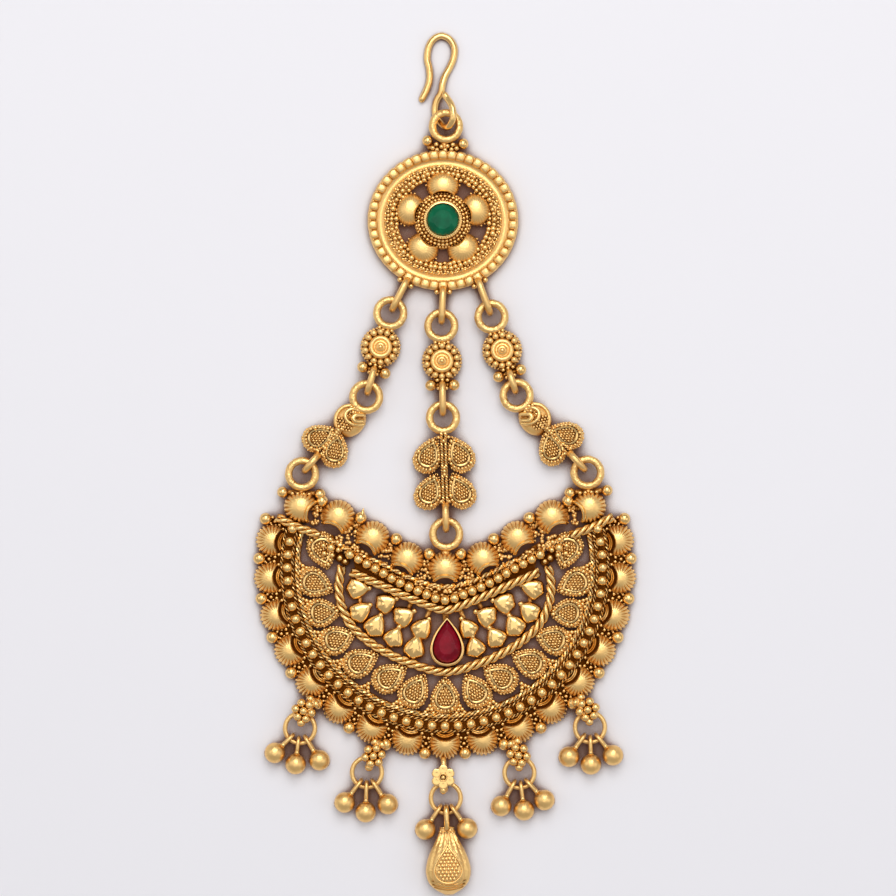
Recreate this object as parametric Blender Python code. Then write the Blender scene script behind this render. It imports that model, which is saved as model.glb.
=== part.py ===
"""A jhoomar: a gold hair ornament with a hook, a medallion, three link chains,
a pierced crescent plate and five groups of hanging balls. It lies face up,
with its length along Y and its back on Z = 0. Lengths are in metres."""

import math

import bmesh
import bpy
from mathutils import Vector

MM = 0.001
DEG = math.pi / 180

# Crescent plate
PLATE_RADIUS = 26.2 * MM
PLATE_THICKNESS = 1.1 * MM
BAND_WIDTH = 5.65 * MM
HORN_ANGLE = 113 * DEG
HORN_INSET = 2.7 * MM
EDGE_DEPTH = 9.2 * MM
FAN_RADIUS = 2.35 * MM
FAN_HEIGHT = 1.8 * MM
FAN_STEP = 12.4 * DEG
FANS_EACH_SIDE = 8
RIM_BEAD_RADIUS = 0.85 * MM
RIM_BEAD_OFFSET = 1.65 * MM
ROPE_RADIUS = 0.6 * MM
ROW_RADIUS = 0.62 * MM
ROW_OFFSET = 2.55 * MM
WEB_WIDTH = 1.0 * MM
WEB_THICKNESS = 0.75 * MM
LEAF_LAP = 0.35 * MM
LEAF_WIDTH = 3.75 * MM
LEAF_HEIGHT = 1.9 * MM
NUGGET_LENGTH = 3.4 * MM
NUGGET_WIDTH = 3.1 * MM
NUGGET_HEIGHT = 1.85 * MM

# Stones and their settings
RED_LENGTH = 6.3 * MM
RED_WIDTH = 4.05 * MM
GREEN_RADIUS = 2.35 * MM
SETTING_GAP = 0.12 * MM
SEAT_GAP = 0.2 * MM
SETTING_WALL = 0.38 * MM
RED_SETTING_HEIGHT = 2.3 * MM
GREEN_SETTING_HEIGHT = 3.4 * MM
POCKET_DEPTH = 1.5 * MM
STONE_RISE = 0.35 * MM

# Medallion
TOP_RING_RISE = 3.55 * MM
MEDALLION_HALF_WIDTH = 11.3 * MM
MEDALLION_HALF_HEIGHT = 10.5 * MM
RIM_HEIGHT = 2.35 * MM
OPENING_SHARE = 0.597
HUB_RADIUS = 3.6 * MM
PETALS = 5
PETAL_WIDTH = 5.1 * MM
PETAL_HEIGHT = 2.6 * MM
PETAL_LAP = 0.45 * MM

# Rings, loops and links of the chains; CHAIN_LENGTH runs from the middle string's
# first ring to the plate's ring
CHAIN_LENGTH = 31.14 * MM
RING_OUTER = 2.5 * MM
RING_WIRE = 1.05 * MM
LOOP_WIRE = 1.0 * MM
LINK_GAP = 0.3 * MM
ROSETTE_RADIUS = 2.8 * MM
ROSETTE_HEIGHT = 3.0 * MM
LINK_BEAD_RADIUS = 0.82 * MM
SPRIG_LEAF_LENGTH = 4.95 * MM
SPRIG_LEAF_WIDTH = 3.7 * MM
SPRIG_HEIGHT = 2.7 * MM
STEM_WIDTH = 1.5 * MM
LINK_BASE = 0.8 * MM

# Hanging groups
DROP_RING_OUTER = 2.58 * MM
DROP_WIRE = 0.7 * MM
BAIL_WIRE = 0.8 * MM
BALL_RADIUS = 1.55 * MM
BALL_BAIL_WIRE = 0.5 * MM
BALL_GAP = 0.2 * MM
CLUSTER_OUT = 2.625 * MM
CLUSTER_RADIUS = 1.65 * MM
CLUSTER_HEIGHT = 1.05 * MM
PEAR_LENGTH = 10.1 * MM
PEAR_WIDTH = 6.75 * MM
PEAR_DEPTH = 4.6 * MM
PEAR_BAIL_WIRE = 0.6 * MM

# Hook
HOOK_WIRE = 0.95 * MM

# Facets
RING_STEPS = 11
LOOP_STEPS = 8
WIRE_SIDES = 5
BEAD_SIDES = 10
BALL_LATITUDES = (-54, 0, 54)
BEAD_LATITUDES = (-30, 30)
FAN_SIDES = 9
LEAF_SIDES = 8
PEAR_SIDES = 10
STONE_SIDES = 13

# What the sizes above give
RING_MID = RING_OUTER - RING_WIRE / 2
DROP_MID = DROP_RING_OUTER - DROP_WIRE / 2
LOOP_HALF_HEIGHT = RING_WIRE / 2 + LINK_GAP + LOOP_WIRE / 2
RING_LEVEL = LOOP_HALF_HEIGHT + LOOP_WIRE / 2
BAIL_HALF_HEIGHT = DROP_WIRE / 2 + LINK_GAP + BAIL_WIRE / 2
DROP_LEVEL = BAIL_HALF_HEIGHT + BAIL_WIRE / 2
BALL_BAIL_HALF_HEIGHT = DROP_WIRE / 2 + BALL_GAP + BALL_BAIL_WIRE / 2
PEAR_BAIL_HALF_HEIGHT = DROP_WIRE / 2 + BALL_GAP + PEAR_BAIL_WIRE / 2
BAND_OUTER = PLATE_RADIUS + 0.5 * FAN_RADIUS
BAND_INNER = BAND_OUTER - BAND_WIDTH
CLUSTER_REACH = BAND_OUTER + CLUSTER_OUT
HORN_RADIUS = PLATE_RADIUS - HORN_INSET
HORN = Vector((HORN_RADIUS * math.sin(HORN_ANGLE), -HORN_RADIUS * math.cos(HORN_ANGLE)))

# Chains, chosen by hand. seat: the plate's ring, in RING_OUTER across and up from
# its foot on the plate. lower: the second ring, as a share of the way down from the
# first ring to the plate's and its bow aside in RING_OUTER. upper and rim: the first
# ring, and where its loop leaves the medallion, in the medallion's half sizes.
CHAIN_ROUTE = {
    "left": {"rim": (-0.518, -0.933), "upper": (-0.697, -1.326),
             "lower": (0.463, 1.148), "seat": (0.1, 1.968)},
    "middle": {"rim": (0.004, -0.962), "upper": (-0.021, -1.506),
               "lower": (0.441, -0.031), "seat": (0.072, 2.068)},
    "right": {"rim": (0.518, -0.952), "upper": (0.644, -1.376),
              "lower": (0.438, -1.185), "seat": (-0.132, 2.06)},
}
PLATE_RING_RISE = HORN.y - EDGE_DEPTH + CHAIN_ROUTE["middle"]["seat"][1] * RING_OUTER
MEDALLION_DROP = PLATE_RING_RISE + CHAIN_LENGTH - CHAIN_ROUTE["middle"]["upper"][1] * MEDALLION_HALF_HEIGHT
MEDALLION_CENTRE = Vector((-0.012 * PLATE_RADIUS, MEDALLION_DROP))
TOP_RING = MEDALLION_CENTRE + Vector((0.18 * RING_OUTER, MEDALLION_HALF_HEIGHT + TOP_RING_RISE))

# Hook route, chosen by hand: across and up in millimetres from the middle of the
# medallion's top ring, and the height of the wire's middle
HOOK_ROUTE = (
    (-3.62, 4.14, 0.48), (-2.9, 5.57, 0.48), (-2.45, 7.07, 0.48), (-2.49, 8.72, 0.48),
    (-2.82, 10.3, 0.48), (-2.52, 12.17, 0.48), (-1.7, 13.29, 0.48), (-0.6, 13.67, 0.48),
    (0.56, 13.14, 0.48), (1.26, 11.87, 0.48), (1.16, 10.37, 0.48), (0.6, 8.97, 0.48),
    (-0.12, 7.67, 0.6), (-0.5, 6.47, 0.75), (-0.72, 5.12, 0.75), (-1.35, 4.07, 0.6),
    (-1.65, 2.87, 0.48), (-1.55, 1.74, 0.48), (-1.02, 0.84, 0.7), (-0.2, -0.06, 1.6),
    (0.5, 0.0, 2.5), (1.0, 0.92, 3.1), (1.08, 2.12, 3.15), (0.75, 3.24, 2.75),
    (0.25, 4.07, 2.25), (-0.2, 4.72, 2.0),
)

# Upper edge: the fans stand at these shares of the horn's distance from the middle,
# and the beads at the first column, set out by the second in FAN_RADIUS
EDGE_FANS = (0.0, 0.261, 0.5, 0.74)
EDGE_BEADS = ((0.13, 0.78), (0.38, 0.74), (0.62, 0.62), (0.868, 0.55))

# Curves of the plate's inside, right half: across and up, as shares of PLATE_RADIUS
UPPER_ROPE = ((0.0, -0.238), (0.124, -0.2), (0.31, -0.12), (0.536, -0.02))
BEAD_ROW = ((0.0, -0.181), (0.138, -0.135), (0.266, -0.077), (0.394, -0.003), (0.567, 0.092))
BOAT_ROPE = (
    (0.0, -0.593), (0.189, -0.547), (0.321, -0.49), (0.418, -0.433), (0.499, -0.367),
    (0.556, -0.298), (0.596, -0.2), (0.607, -0.097), (0.59, 0.011),
)
HORN_ROPE = ((0.957, 0.292), (0.84, 0.235), (0.722, 0.19))
UPPER_SLAB = (
    (0.95, 0.29), (0.84, 0.2), (0.72, 0.15), (0.62, 0.09), (0.555, -0.02),
    (0.31, -0.137), (0.124, -0.217), (0.0, -0.255),
)

# Granulated leaves, right half: across and up of the middle as shares of
# PLATE_RADIUS, and the turn of the round end from straight down
LEAVES = (
    (0.0, -0.752, 0), (0.158, -0.709, 40), (0.307, -0.633, 65), (0.476, -0.547, 71),
    (0.622, -0.427, 80), (0.716, -0.272, 99), (0.756, -0.092, 121), (0.696, 0.083, 146),
)

# Nuggets, right half, in pairs of an upper and a lower one: the same columns
NUGGETS = (
    ((0.495, -0.115, 80), (0.48, -0.246, 45)),
    ((0.334, -0.198, 70), (0.397, -0.325, 35)),
    ((0.232, -0.273, 60), (0.289, -0.393, 25)),
    ((0.128, -0.34, 40), (0.172, -0.449, 10)),
)

# Hanging groups. angle: the cluster's on the plate, from straight down. out: its
# distance from the plate's middle in CLUSTER_REACH. swing and drop: the ring's turn
# and its distance below the cluster in DROP_RING_OUTER. balls: the turn of each and
# its distance from the ring's middle in DROP_RING_OUTER.
PENDANTS = (
    {"angle": -44.8, "out": 1.0, "swing": -12, "drop": 1.06,
     "balls": ((-45.7, 2.04), (-7, 2.09), (31.4, 2.17))},
    {"angle": -20.9, "out": 1.0, "swing": -21, "drop": 1.06,
     "balls": ((-36.7, 2.17), (-1.9, 2.3), (33.3, 2.19))},
    {"angle": -0.5, "out": 1.04, "swing": 7, "drop": 1.25,
     "balls": ((-33, 2.18), (35, 2.16))},
    {"angle": 21.5, "out": 1.0, "swing": 3, "drop": 1.06,
     "balls": ((-28.9, 2.19), (7.1, 2.18), (42.7, 2.14))},
    {"angle": 45.3, "out": 1.0, "swing": 8, "drop": 1.06,
     "balls": ((-35.6, 2.1), (1.5, 2.15), (39.4, 2.1))},
)
PEAR_SWING = 2 * DEG

# Pear outline from its top to its foot: distance in PEAR_LENGTH, half width in
# half PEAR_WIDTH
PEAR_SECTIONS = (
    (0.0, 0.3), (0.08, 0.42), (0.14, 0.38), (0.25, 0.6), (0.42, 0.87),
    (0.6, 1.0), (0.76, 0.9), (0.9, 0.58), (1.0, 0.14),
)

GOLD = (0.68, 0.4, 0.11)
GREEN = (0.0, 0.16, 0.07)
RED = (0.3, 0.0, 0.03)


# Points and curves

def aim(angle):
    """Unit vector in the plane, turned from straight down towards +X."""
    return Vector((math.sin(angle), -math.cos(angle)))


def side_of(direction):
    return Vector((-direction.y, direction.x))


def at(point, height):
    return Vector((point[0], point[1], height))


def both_halves(points):
    """The right half of a curve, from its middle out, with its mirror image."""
    left = [Vector((-x, y)) for x, y in reversed(points[1:])]
    return left + [Vector(point) for point in points]


def of_plate(points):
    return [Vector(point) * PLATE_RADIUS for point in points]


def smooth(points, steps):
    """Catmull-Rom curve through the points."""
    ends = [points[0] * 2 - points[1], *points, points[-1] * 2 - points[-2]]
    curve = []
    for before, start, end, after in zip(ends, ends[1:], ends[2:], ends[3:]):
        for step in range(steps):
            t = step / steps
            curve.append(0.5 * (2 * start + (end - before) * t
                                + (2 * before - 5 * start + 4 * end - after) * t ** 2
                                + (3 * start - before - 3 * end + after) * t ** 3))
    curve.append(points[-1].copy())
    return curve


def nearest(path, point):
    return min(path, key=lambda spot: (spot - point).length)


def circle(centre, radius, count):
    return [centre + aim(2 * math.pi * i / count) * radius for i in range(count)]


def ellipse(centre, direction, length, width, count):
    across = side_of(direction)
    turns = [2 * math.pi * i / count for i in range(count)]
    return [centre + direction * math.cos(t) * length / 2 + across * math.sin(t) * width / 2
            for t in turns]


def drop(centre, direction, length, width, count):
    """Teardrop outline with its point at the back of the direction."""
    across = side_of(direction)
    widest = 0.77
    outline = []
    for i in range(count):
        t = 2 * math.pi * i / count
        spread = math.sin(t) * math.sin(t / 2) / widest
        outline.append(centre - direction * math.cos(t) * length / 2 + across * spread * width / 2)
    return outline


def lobed(centre, radius, lobes, depth, count):
    """Flower outline: a circle whose edge swells into lobes."""
    outline = []
    for i in range(count):
        t = 2 * math.pi * i / count
        outline.append(centre + aim(t) * radius * (1 - depth + depth * abs(math.cos(lobes * t / 2))))
    return outline


def edge_height(across):
    """The plate's upper edge: low in the middle, rising to the horns."""
    rise = (1 - math.cos(math.pi * across / HORN.x)) / 2
    return HORN.y - EDGE_DEPTH + EDGE_DEPTH * rise


def edge_point(share):
    return Vector((share * HORN.x, edge_height(share * HORN.x)))


def edge_inward(share):
    """Unit vector from the upper edge into the plate."""
    step = 0.01
    along = (edge_point(share + step) - edge_point(share - step)).normalized()
    return -side_of(along)


# Solids

def solid(rings, closed=False):
    """Closed solid through rings of points; closed joins the last ring to the first."""
    shape = bmesh.new()
    loops = [[shape.verts.new(point) for point in ring] for ring in rings]
    bands = list(zip(loops, loops[1:]))
    if closed:
        bands.append((loops[-1], loops[0]))
    for low, high in bands:
        for i, corner in enumerate(low):
            j = (i + 1) % len(low)
            shape.faces.new((corner, low[j], high[j], high[i]))
    if not closed:
        shape.faces.new(loops[0][::-1])
        shape.faces.new(loops[-1])
    bmesh.ops.recalc_face_normals(shape, faces=shape.faces)
    mesh = bpy.data.meshes.new("shape")
    shape.to_mesh(mesh)
    shape.free()
    mesh.shade_smooth()
    mesh.set_sharp_from_angle(angle=45 * DEG)
    return bpy.data.objects.new("shape", mesh)


def slab(outline, low, high):
    return solid([[at(point, low) for point in outline], [at(point, high) for point in outline]])


def relief(outline, centre, levels, lean=Vector((0, 0))):
    """Raised solid whose outline shrinks to its centre: each level holds a share of
    the outline, a height and a share of the lean."""
    rings = []
    for share, height, leaning in levels:
        middle = centre + lean * leaning
        rings.append([at(middle + (point - centre) * share, height) for point in outline])
    return solid(rings)


def ball(centre, height, radius, latitudes=BALL_LATITUDES):
    rings = []
    for latitude in latitudes:
        reach = radius * math.cos(latitude * DEG)
        level = height + radius * math.sin(latitude * DEG)
        rings.append([at(point, level) for point in circle(centre, reach, BEAD_SIDES)])
    return solid(rings)


def tube(path, diameter, up, closed=False):
    """Round wire along a path of points."""
    rings = []
    last = len(path) - 1
    for i, point in enumerate(path):
        after = path[(i + 1) % len(path)] if closed or i < last else point
        before = path[i - 1] if closed or i > 0 else point
        along = (after - before).normalized()
        across = up.cross(along).normalized()
        lift = along.cross(across)
        turns = [2 * math.pi * (k + 0.5) / WIRE_SIDES for k in range(WIRE_SIDES)]
        rings.append([point + (across * math.cos(t) + lift * math.sin(t)) * diameter / 2 for t in turns])
    return solid(rings, closed)


def strip(path, width, low, high):
    """Flat bar along a path in the plane."""
    rings = []
    for before, point, after in zip([path[0], *path], path, [*path[1:], path[-1]]):
        across = side_of((after - before).normalized()) * width / 2
        rings.append([at(point + across, low), at(point - across, low),
                      at(point - across, high), at(point + across, high)])
    return solid(rings)


def rope(path, diameter, level):
    return tube([at(point, level) for point in path], diameter, Vector((0, 0, 1)))


def flat_ring(centre, level, middle_radius, wire):
    path = [at(point, level) for point in circle(centre, middle_radius, RING_STEPS)]
    return tube(path, wire, Vector((0, 0, 1)), closed=True)


def upright_loop(start, end, level, half_height, wire):
    """Long wire loop standing on edge, its middle line from start to end."""
    along = (end - start).normalized()
    middle = (start + end) / 2
    straight = max((end - start).length / 2 - half_height, 0)
    path = []
    for i in range(LOOP_STEPS):
        t = 2 * math.pi * (i + 0.5) / LOOP_STEPS
        reach = math.cos(t) * ((end - start).length / 2 - straight)
        reach += math.copysign(straight, math.cos(t))
        path.append(at(middle + along * reach, level + half_height * math.sin(t)))
    normal = at(side_of(along), 0)
    return tube(path, wire, normal, closed=True)


def wrap_end(ring_centre, along, ring_middle, ring_wire, gap, wire):
    """Where a loop that comes along wraps the near wire of a ring."""
    return ring_centre - along * (ring_middle - ring_wire / 2 - gap - wire / 2)


# Nodes

def gather(name, shapes):
    """Hidden shapes that a Boolean of a node reads."""
    group = bpy.data.collections.new(name)
    bpy.context.scene.collection.children.link(group)
    for i, shape in enumerate(shapes):
        shape.name = f"{name}_{i}"
        shape.hide_render = True
        shape.display_type = "WIRE"
        group.objects.link(shape)
    return group


def node(name, shapes, colour, cuts=(), metallic=1.0, roughness=0.32):
    """One named solid: its shapes joined, then cut."""
    body, *others = shapes
    body.name = name
    body.data.name = name
    bpy.context.scene.collection.objects.link(body)
    if others:
        join = body.modifiers.new("join", "BOOLEAN")
        join.operation = "UNION"
        join.operand_type = "COLLECTION"
        join.collection = gather(name + "_shapes", others)
    if cuts:
        cut = body.modifiers.new("cut", "BOOLEAN")
        cut.operation = "DIFFERENCE"
        cut.operand_type = "COLLECTION"
        cut.collection = gather(name + "_cuts", cuts)
    material = bpy.data.materials.new(name)
    material.use_nodes = True
    shader = material.node_tree.nodes["Principled BSDF"]
    shader.inputs["Base Color"].default_value = (*colour, 1)
    shader.inputs["Metallic"].default_value = metallic
    shader.inputs["Roughness"].default_value = roughness
    body.data.materials.append(material)
    return body


# Crescent plate

def fan(centre, inward):
    """Ribbed cup of the plate's border, highest near its inner lip."""
    top = PLATE_THICKNESS
    levels = ((1.04, 0.35 * top, 0), (0.7, top + FAN_HEIGHT, 1))
    return relief(circle(centre, FAN_RADIUS, FAN_SIDES), centre, levels, inward * FAN_RADIUS * 0.2)


def fan_hole(centre, inward, reach):
    """Cutter of the crescent hole inside a fan's lip; reach is a share of the fan."""
    across = side_of(inward)
    lip, floor = [], []
    for share in (-1, -0.45, 0.45, 1):
        aside = centre + across * FAN_RADIUS * 0.6 * share
        lip.append(aside + inward * FAN_RADIUS * (reach - 0.43 + 0.29 * share ** 2))
    for share in (-0.7, 0.7):
        aside = centre + across * FAN_RADIUS * 0.6 * share
        floor.append(aside + inward * FAN_RADIUS * reach)
    return slab(lip + floor[::-1], -PLATE_THICKNESS, PLATE_THICKNESS + 2 * FAN_HEIGHT)


def plate_fans():
    """Centre, inward direction and hole reach of each fan; the outer ones stay whole."""
    fans = []
    for k in range(-FANS_EACH_SIDE, FANS_EACH_SIDE + 1):
        fans.append((aim(k * FAN_STEP) * PLATE_RADIUS, -aim(k * FAN_STEP), 0))
    for side in (-1, 1):
        fans.append((Vector((side * HORN.x, HORN.y)), -aim(side * HORN_ANGLE), 0.95))
    for share in EDGE_FANS:
        for side in {-1, 1} if share else {1}:
            fans.append((edge_point(side * share), edge_inward(side * share), 0.97))
    return fans


def border_beads():
    beads = []
    for k in range(FANS_EACH_SIDE + 1):
        for side in (-1, 1):
            turn = side * (k + 0.5) * FAN_STEP
            beads.append(aim(turn) * (PLATE_RADIUS + RIM_BEAD_OFFSET))
    for share, offset in EDGE_BEADS:
        for side in (-1, 1):
            spot = side * share
            beads.append(edge_point(spot) - edge_inward(spot) * FAN_RADIUS * offset)
    level = PLATE_THICKNESS + 0.2 * RIM_BEAD_RADIUS
    return [ball(centre, level, RIM_BEAD_RADIUS, latitudes=BEAD_LATITUDES) for centre in beads]


def to_circle(point, direction, radius):
    """The point moved along the direction until it lies on the circle."""
    along = point.dot(direction)
    return point + direction * (math.sqrt(along ** 2 + radius ** 2 - point.length_squared) - along)


def leaf_ring(boat):
    """The granulated leaves, each from the boat rope to the border band."""
    shapes = []
    levels = ((1.04, 0.1 * PLATE_THICKNESS, 0), (0.74, LEAF_HEIGHT, 0))
    for x, y, turn in LEAVES:
        for side in (-1, 1) if x else (1,):
            centre = Vector((side * x, y)) * PLATE_RADIUS
            end = to_circle(centre, aim(side * turn * DEG), BAND_INNER + LEAF_LAP)
            tip = nearest(boat, centre - (end - centre))
            middle = (tip + end) / 2
            length = (end - tip).length
            outline = drop(middle, (end - tip).normalized(), length, LEAF_WIDTH, LEAF_SIDES)
            shapes.append(relief(outline, middle, levels))
    return shapes


def nugget_field(upper, boat):
    """Columns of two nuggets on webs between the upper rope and the boat rope."""
    shapes = []
    for column in NUGGETS:
        for side in (-1, 1):
            centres = [Vector((side * x, y)) * PLATE_RADIUS for x, y, _ in column]
            for centre, (_, _, turn) in zip(centres, column):
                outline = drop(centre, -aim(side * turn * DEG), NUGGET_LENGTH, NUGGET_WIDTH, LEAF_SIDES)
                levels = ((1.0, 0.2 * PLATE_THICKNESS, 0), (0.62, NUGGET_HEIGHT, 0))
                shapes.append(relief(outline, centre, levels))
            web = [nearest(upper, centres[0]), nearest(boat, centres[1])]
            shapes.append(strip(web, WEB_WIDTH, 0.14 * PLATE_THICKNESS, 0.95 * WEB_THICKNESS))
    return shapes


def upper_slab():
    """Solid field between the upper fans and the upper rope."""
    steps = 12
    top = []
    for i in range(-steps, steps + 1):
        share = i / steps
        top.append(edge_point(share) - edge_inward(share) * FAN_RADIUS * 0.6)
    under = both_halves(UPPER_SLAB[::-1])
    return slab(top + [point * PLATE_RADIUS for point in under[::-1]], 0, 1.06 * PLATE_THICKNESS)


def ring_seat(centre, foot, beads):
    """Chain ring of the plate with its neck and, at the horns, two beads."""
    along = (foot - centre).normalized()
    shapes = [flat_ring(centre, RING_LEVEL, RING_MID, RING_WIRE)]
    neck = [centre + along * (RING_OUTER - RING_WIRE / 3), foot]
    shapes.append(strip(neck, 2 * RING_WIRE, 0.4 * PLATE_THICKNESS, RING_LEVEL))
    if beads:
        middle = centre + along * (RING_OUTER + RIM_BEAD_RADIUS / 3)
        aside = side_of(along) * (RING_OUTER + RIM_BEAD_RADIUS / 4)
        shapes.append(strip([middle - aside, middle + aside], RIM_BEAD_RADIUS,
                            0.46 * PLATE_THICKNESS, 1.3 * PLATE_THICKNESS))
        for spot in (middle - aside, middle + aside):
            level = PLATE_THICKNESS + 0.3 * RIM_BEAD_RADIUS
            shapes.append(ball(spot, level, RIM_BEAD_RADIUS, latitudes=BEAD_LATITUDES))
    return shapes


def setting(outline, centre, low, high):
    return relief(outline, centre, ((1.0, low, 0), (1.0, 0.8 * high, 0), (0.95, high, 0)))


def red_centre():
    return Vector((0.012, -0.418)) * PLATE_RADIUS


def red_outline(margin):
    return drop(red_centre(), aim(0), RED_LENGTH + 2 * margin, RED_WIDTH + 2 * margin, STONE_SIDES)


def pendant_places(pendant):
    """Cluster middle and ring middle of a hanging group."""
    cluster = aim(pendant["angle"] * DEG) * CLUSTER_REACH * pendant["out"]
    direction = aim(pendant["swing"] * DEG)
    return cluster, cluster + direction * DROP_RING_OUTER * pendant["drop"]


def cluster_bail(pendant):
    """Bead cluster on a bail that holds a hanging ring."""
    cluster, ring = pendant_places(pendant)
    start = aim(pendant["angle"] * DEG) * (BAND_OUTER - RIM_BEAD_RADIUS)
    direction = (ring - start).normalized()
    end = wrap_end(ring, direction, DROP_MID, DROP_WIRE, LINK_GAP, BAIL_WIRE)
    arm = DROP_LEVEL + BAIL_HALF_HEIGHT
    base = arm - BAIL_WIRE / 2 + LINK_GAP / 3
    levels = ((1.0, base, 0), (1.0, base + 0.4 * CLUSTER_HEIGHT, 0), (0.6, base + CLUSTER_HEIGHT, 0))
    return [
        upright_loop(start, end, DROP_LEVEL, BAIL_HALF_HEIGHT, BAIL_WIRE),
        relief(lobed(cluster, CLUSTER_RADIUS, 6, 0.16, 12), cluster, levels),
    ]


def border_band():
    """The plate's curved border, raised along its bead row."""
    row = PLATE_RADIUS - ROW_OFFSET
    top = PLATE_THICKNESS
    profile = (
        (BAND_INNER, 0.05 * top), (BAND_OUTER, 0.05 * top), (BAND_OUTER, top),
        (row, top + 0.8 * ROW_RADIUS), (BAND_INNER, top),
    )
    steps = 28
    turns = [HORN_ANGLE * (2 * i / steps - 1) for i in range(steps + 1)]
    return solid([[at(aim(turn) * radius, height) for radius, height in profile] for turn in turns])


def crescent_plate():
    level = PLATE_THICKNESS
    boat = smooth(both_halves(of_plate(BOAT_ROPE)), 4)
    upper = smooth(both_halves(of_plate(UPPER_ROPE)), 4)
    row = both_halves(of_plate(BEAD_ROW))
    shapes = [
        border_band(),
        upper_slab(),
        rope(boat[::4], 2.4 * ROPE_RADIUS, 0.72 * level),
        rope(upper[::4], 2 * ROPE_RADIUS, 1.15 * level),
        rope(row, 2 * ROW_RADIUS, 1.25 * level),
    ]
    for side in (-1, 1):
        horn_rope = [Vector((side * x, y)) * PLATE_RADIUS for x, y in HORN_ROPE]
        shapes.append(rope(horn_rope, 2 * ROPE_RADIUS, 1.22 * level))
    fans = plate_fans()
    shapes += [fan(centre, inward) for centre, inward, _ in fans]
    shapes += border_beads() + leaf_ring(boat) + nugget_field(upper, boat)
    rim = SETTING_GAP + SETTING_WALL
    shapes.append(setting(red_outline(rim), red_centre(), 0.18 * level, RED_SETTING_HEIGHT))
    stay = [nearest(upper, red_centre()), red_centre(), nearest(boat, red_centre())]
    shapes.append(strip(stay, 2 * WEB_WIDTH, 0.12 * level, 0.9 * WEB_THICKNESS))
    for side in CHAIN_ROUTE:
        shapes += ring_seat(chain_point(side, "seat"), plate_foot(side), side != "middle")
    for pendant in PENDANTS:
        shapes += cluster_bail(pendant)
    cuts = [fan_hole(*place) for place in fans if place[2]]
    cuts.append(slab(red_outline(SETTING_GAP), RED_SETTING_HEIGHT - POCKET_DEPTH, 2 * RED_SETTING_HEIGHT))
    node("crescent_plate", shapes, GOLD, cuts)


# Medallion

def medallion_reach(direction):
    """Distance from the medallion's middle to its rim."""
    return 1 / math.hypot(direction.x / MEDALLION_HALF_WIDTH, direction.y / MEDALLION_HALF_HEIGHT)


def medallion_body():
    """Turned outline of the rim, the channel and the inner band, as shares of the
    half width and of the rim's height."""
    outline = (
        (OPENING_SHARE, 0), (0.985, 0), (1.0, 0.42), (0.94, 1.0),
        (0.85, 0.57), (0.75, 0.76), (OPENING_SHARE + 0.01, 0.66),
    )
    rings = []
    steps = 24
    for i in range(steps):
        direction = aim(2 * math.pi * i / steps)
        reach = medallion_reach(direction)
        rings.append([at(MEDALLION_CENTRE + direction * reach * share, height * RIM_HEIGHT)
                      for share, height in outline])
    return solid(rings, closed=True)


def petal(i):
    direction = aim(math.pi + 2 * math.pi * i / PETALS)
    opening = medallion_reach(direction) * OPENING_SHARE
    centre = MEDALLION_CENTRE + direction * (opening + HUB_RADIUS) / 2
    depth = opening - HUB_RADIUS + 2 * PETAL_LAP
    levels = ((1.0, 0.15 * PETAL_HEIGHT, 0), (1.0, 0.5 * PETAL_HEIGHT, 0), (0.55, PETAL_HEIGHT, 1))
    return relief(ellipse(centre, direction, depth, PETAL_WIDTH, LEAF_SIDES), centre, levels,
                  -direction * 0.15 * depth)


def medallion():
    rim = GREEN_RADIUS + SETTING_GAP + SETTING_WALL
    centre = MEDALLION_CENTRE
    hub = slab(circle(centre, HUB_RADIUS, STONE_SIDES), 0.06 * RIM_HEIGHT, 0.55 * RIM_HEIGHT)
    shapes = [medallion_body(), hub]
    shapes += [petal(i) for i in range(PETALS)]
    shapes.append(setting(circle(centre, rim, STONE_SIDES), centre, 0.1 * RIM_HEIGHT, GREEN_SETTING_HEIGHT))
    shapes.append(flat_ring(TOP_RING, RING_LEVEL, RING_MID, RING_WIRE))
    crown = centre + Vector((0, MEDALLION_HALF_HEIGHT))
    seat = crown + (TOP_RING - Vector((0, RING_OUTER)) - crown) * 0.5
    aside = Vector((RING_OUTER + LINK_BEAD_RADIUS / 3, 0))
    shapes.append(strip([seat - aside, seat + aside], 2 * RING_WIRE, 0.15 * RIM_HEIGHT, 0.75 * RIM_HEIGHT))
    for spot in (seat - aside, seat + aside):
        shapes.append(ball(spot + Vector((0, LINK_BEAD_RADIUS)), 0.6 * RIM_HEIGHT, LINK_BEAD_RADIUS))
    for side in CHAIN_ROUTE:
        direction = (chain_point(side, "rim") - centre).normalized()
        start = centre + direction * medallion_reach(direction) * 0.97
        shapes.append(chain_loop(start, chain_point(side, "upper")))
    pocket = slab(circle(centre, GREEN_RADIUS + SETTING_GAP, STONE_SIDES),
                  GREEN_SETTING_HEIGHT - POCKET_DEPTH, 2 * GREEN_SETTING_HEIGHT)
    node("medallion", shapes, GOLD, [pocket])


# Stones

def stones():
    """Cut stones with a pointed back, a girdle, a ring of facets and a table."""
    round_outline = circle(MEDALLION_CENTRE, GREEN_RADIUS, STONE_SIDES)
    cut_stone("green_stone", round_outline, MEDALLION_CENTRE, GREEN_SETTING_HEIGHT, GREEN)
    cut_stone("red_stone", red_outline(0), red_centre(), RED_SETTING_HEIGHT, RED)


def cut_stone(name, outline, centre, height, colour):
    seat = height - POCKET_DEPTH + SEAT_GAP
    levels = ((0.5, seat, 0), (1.0, height - 0.35 * POCKET_DEPTH, 0),
              (1.0, height - 0.2 * POCKET_DEPTH, 0), (0.6, height + STONE_RISE, 0))
    node(name, [relief(outline, centre, levels)], colour, metallic=0.0, roughness=0.08)


# Chains

def plate_foot(side):
    """Where a string's last ring stands on the plate's edge."""
    return edge_point(1 if side == "right" else -1 if side == "left" else 0)


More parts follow.
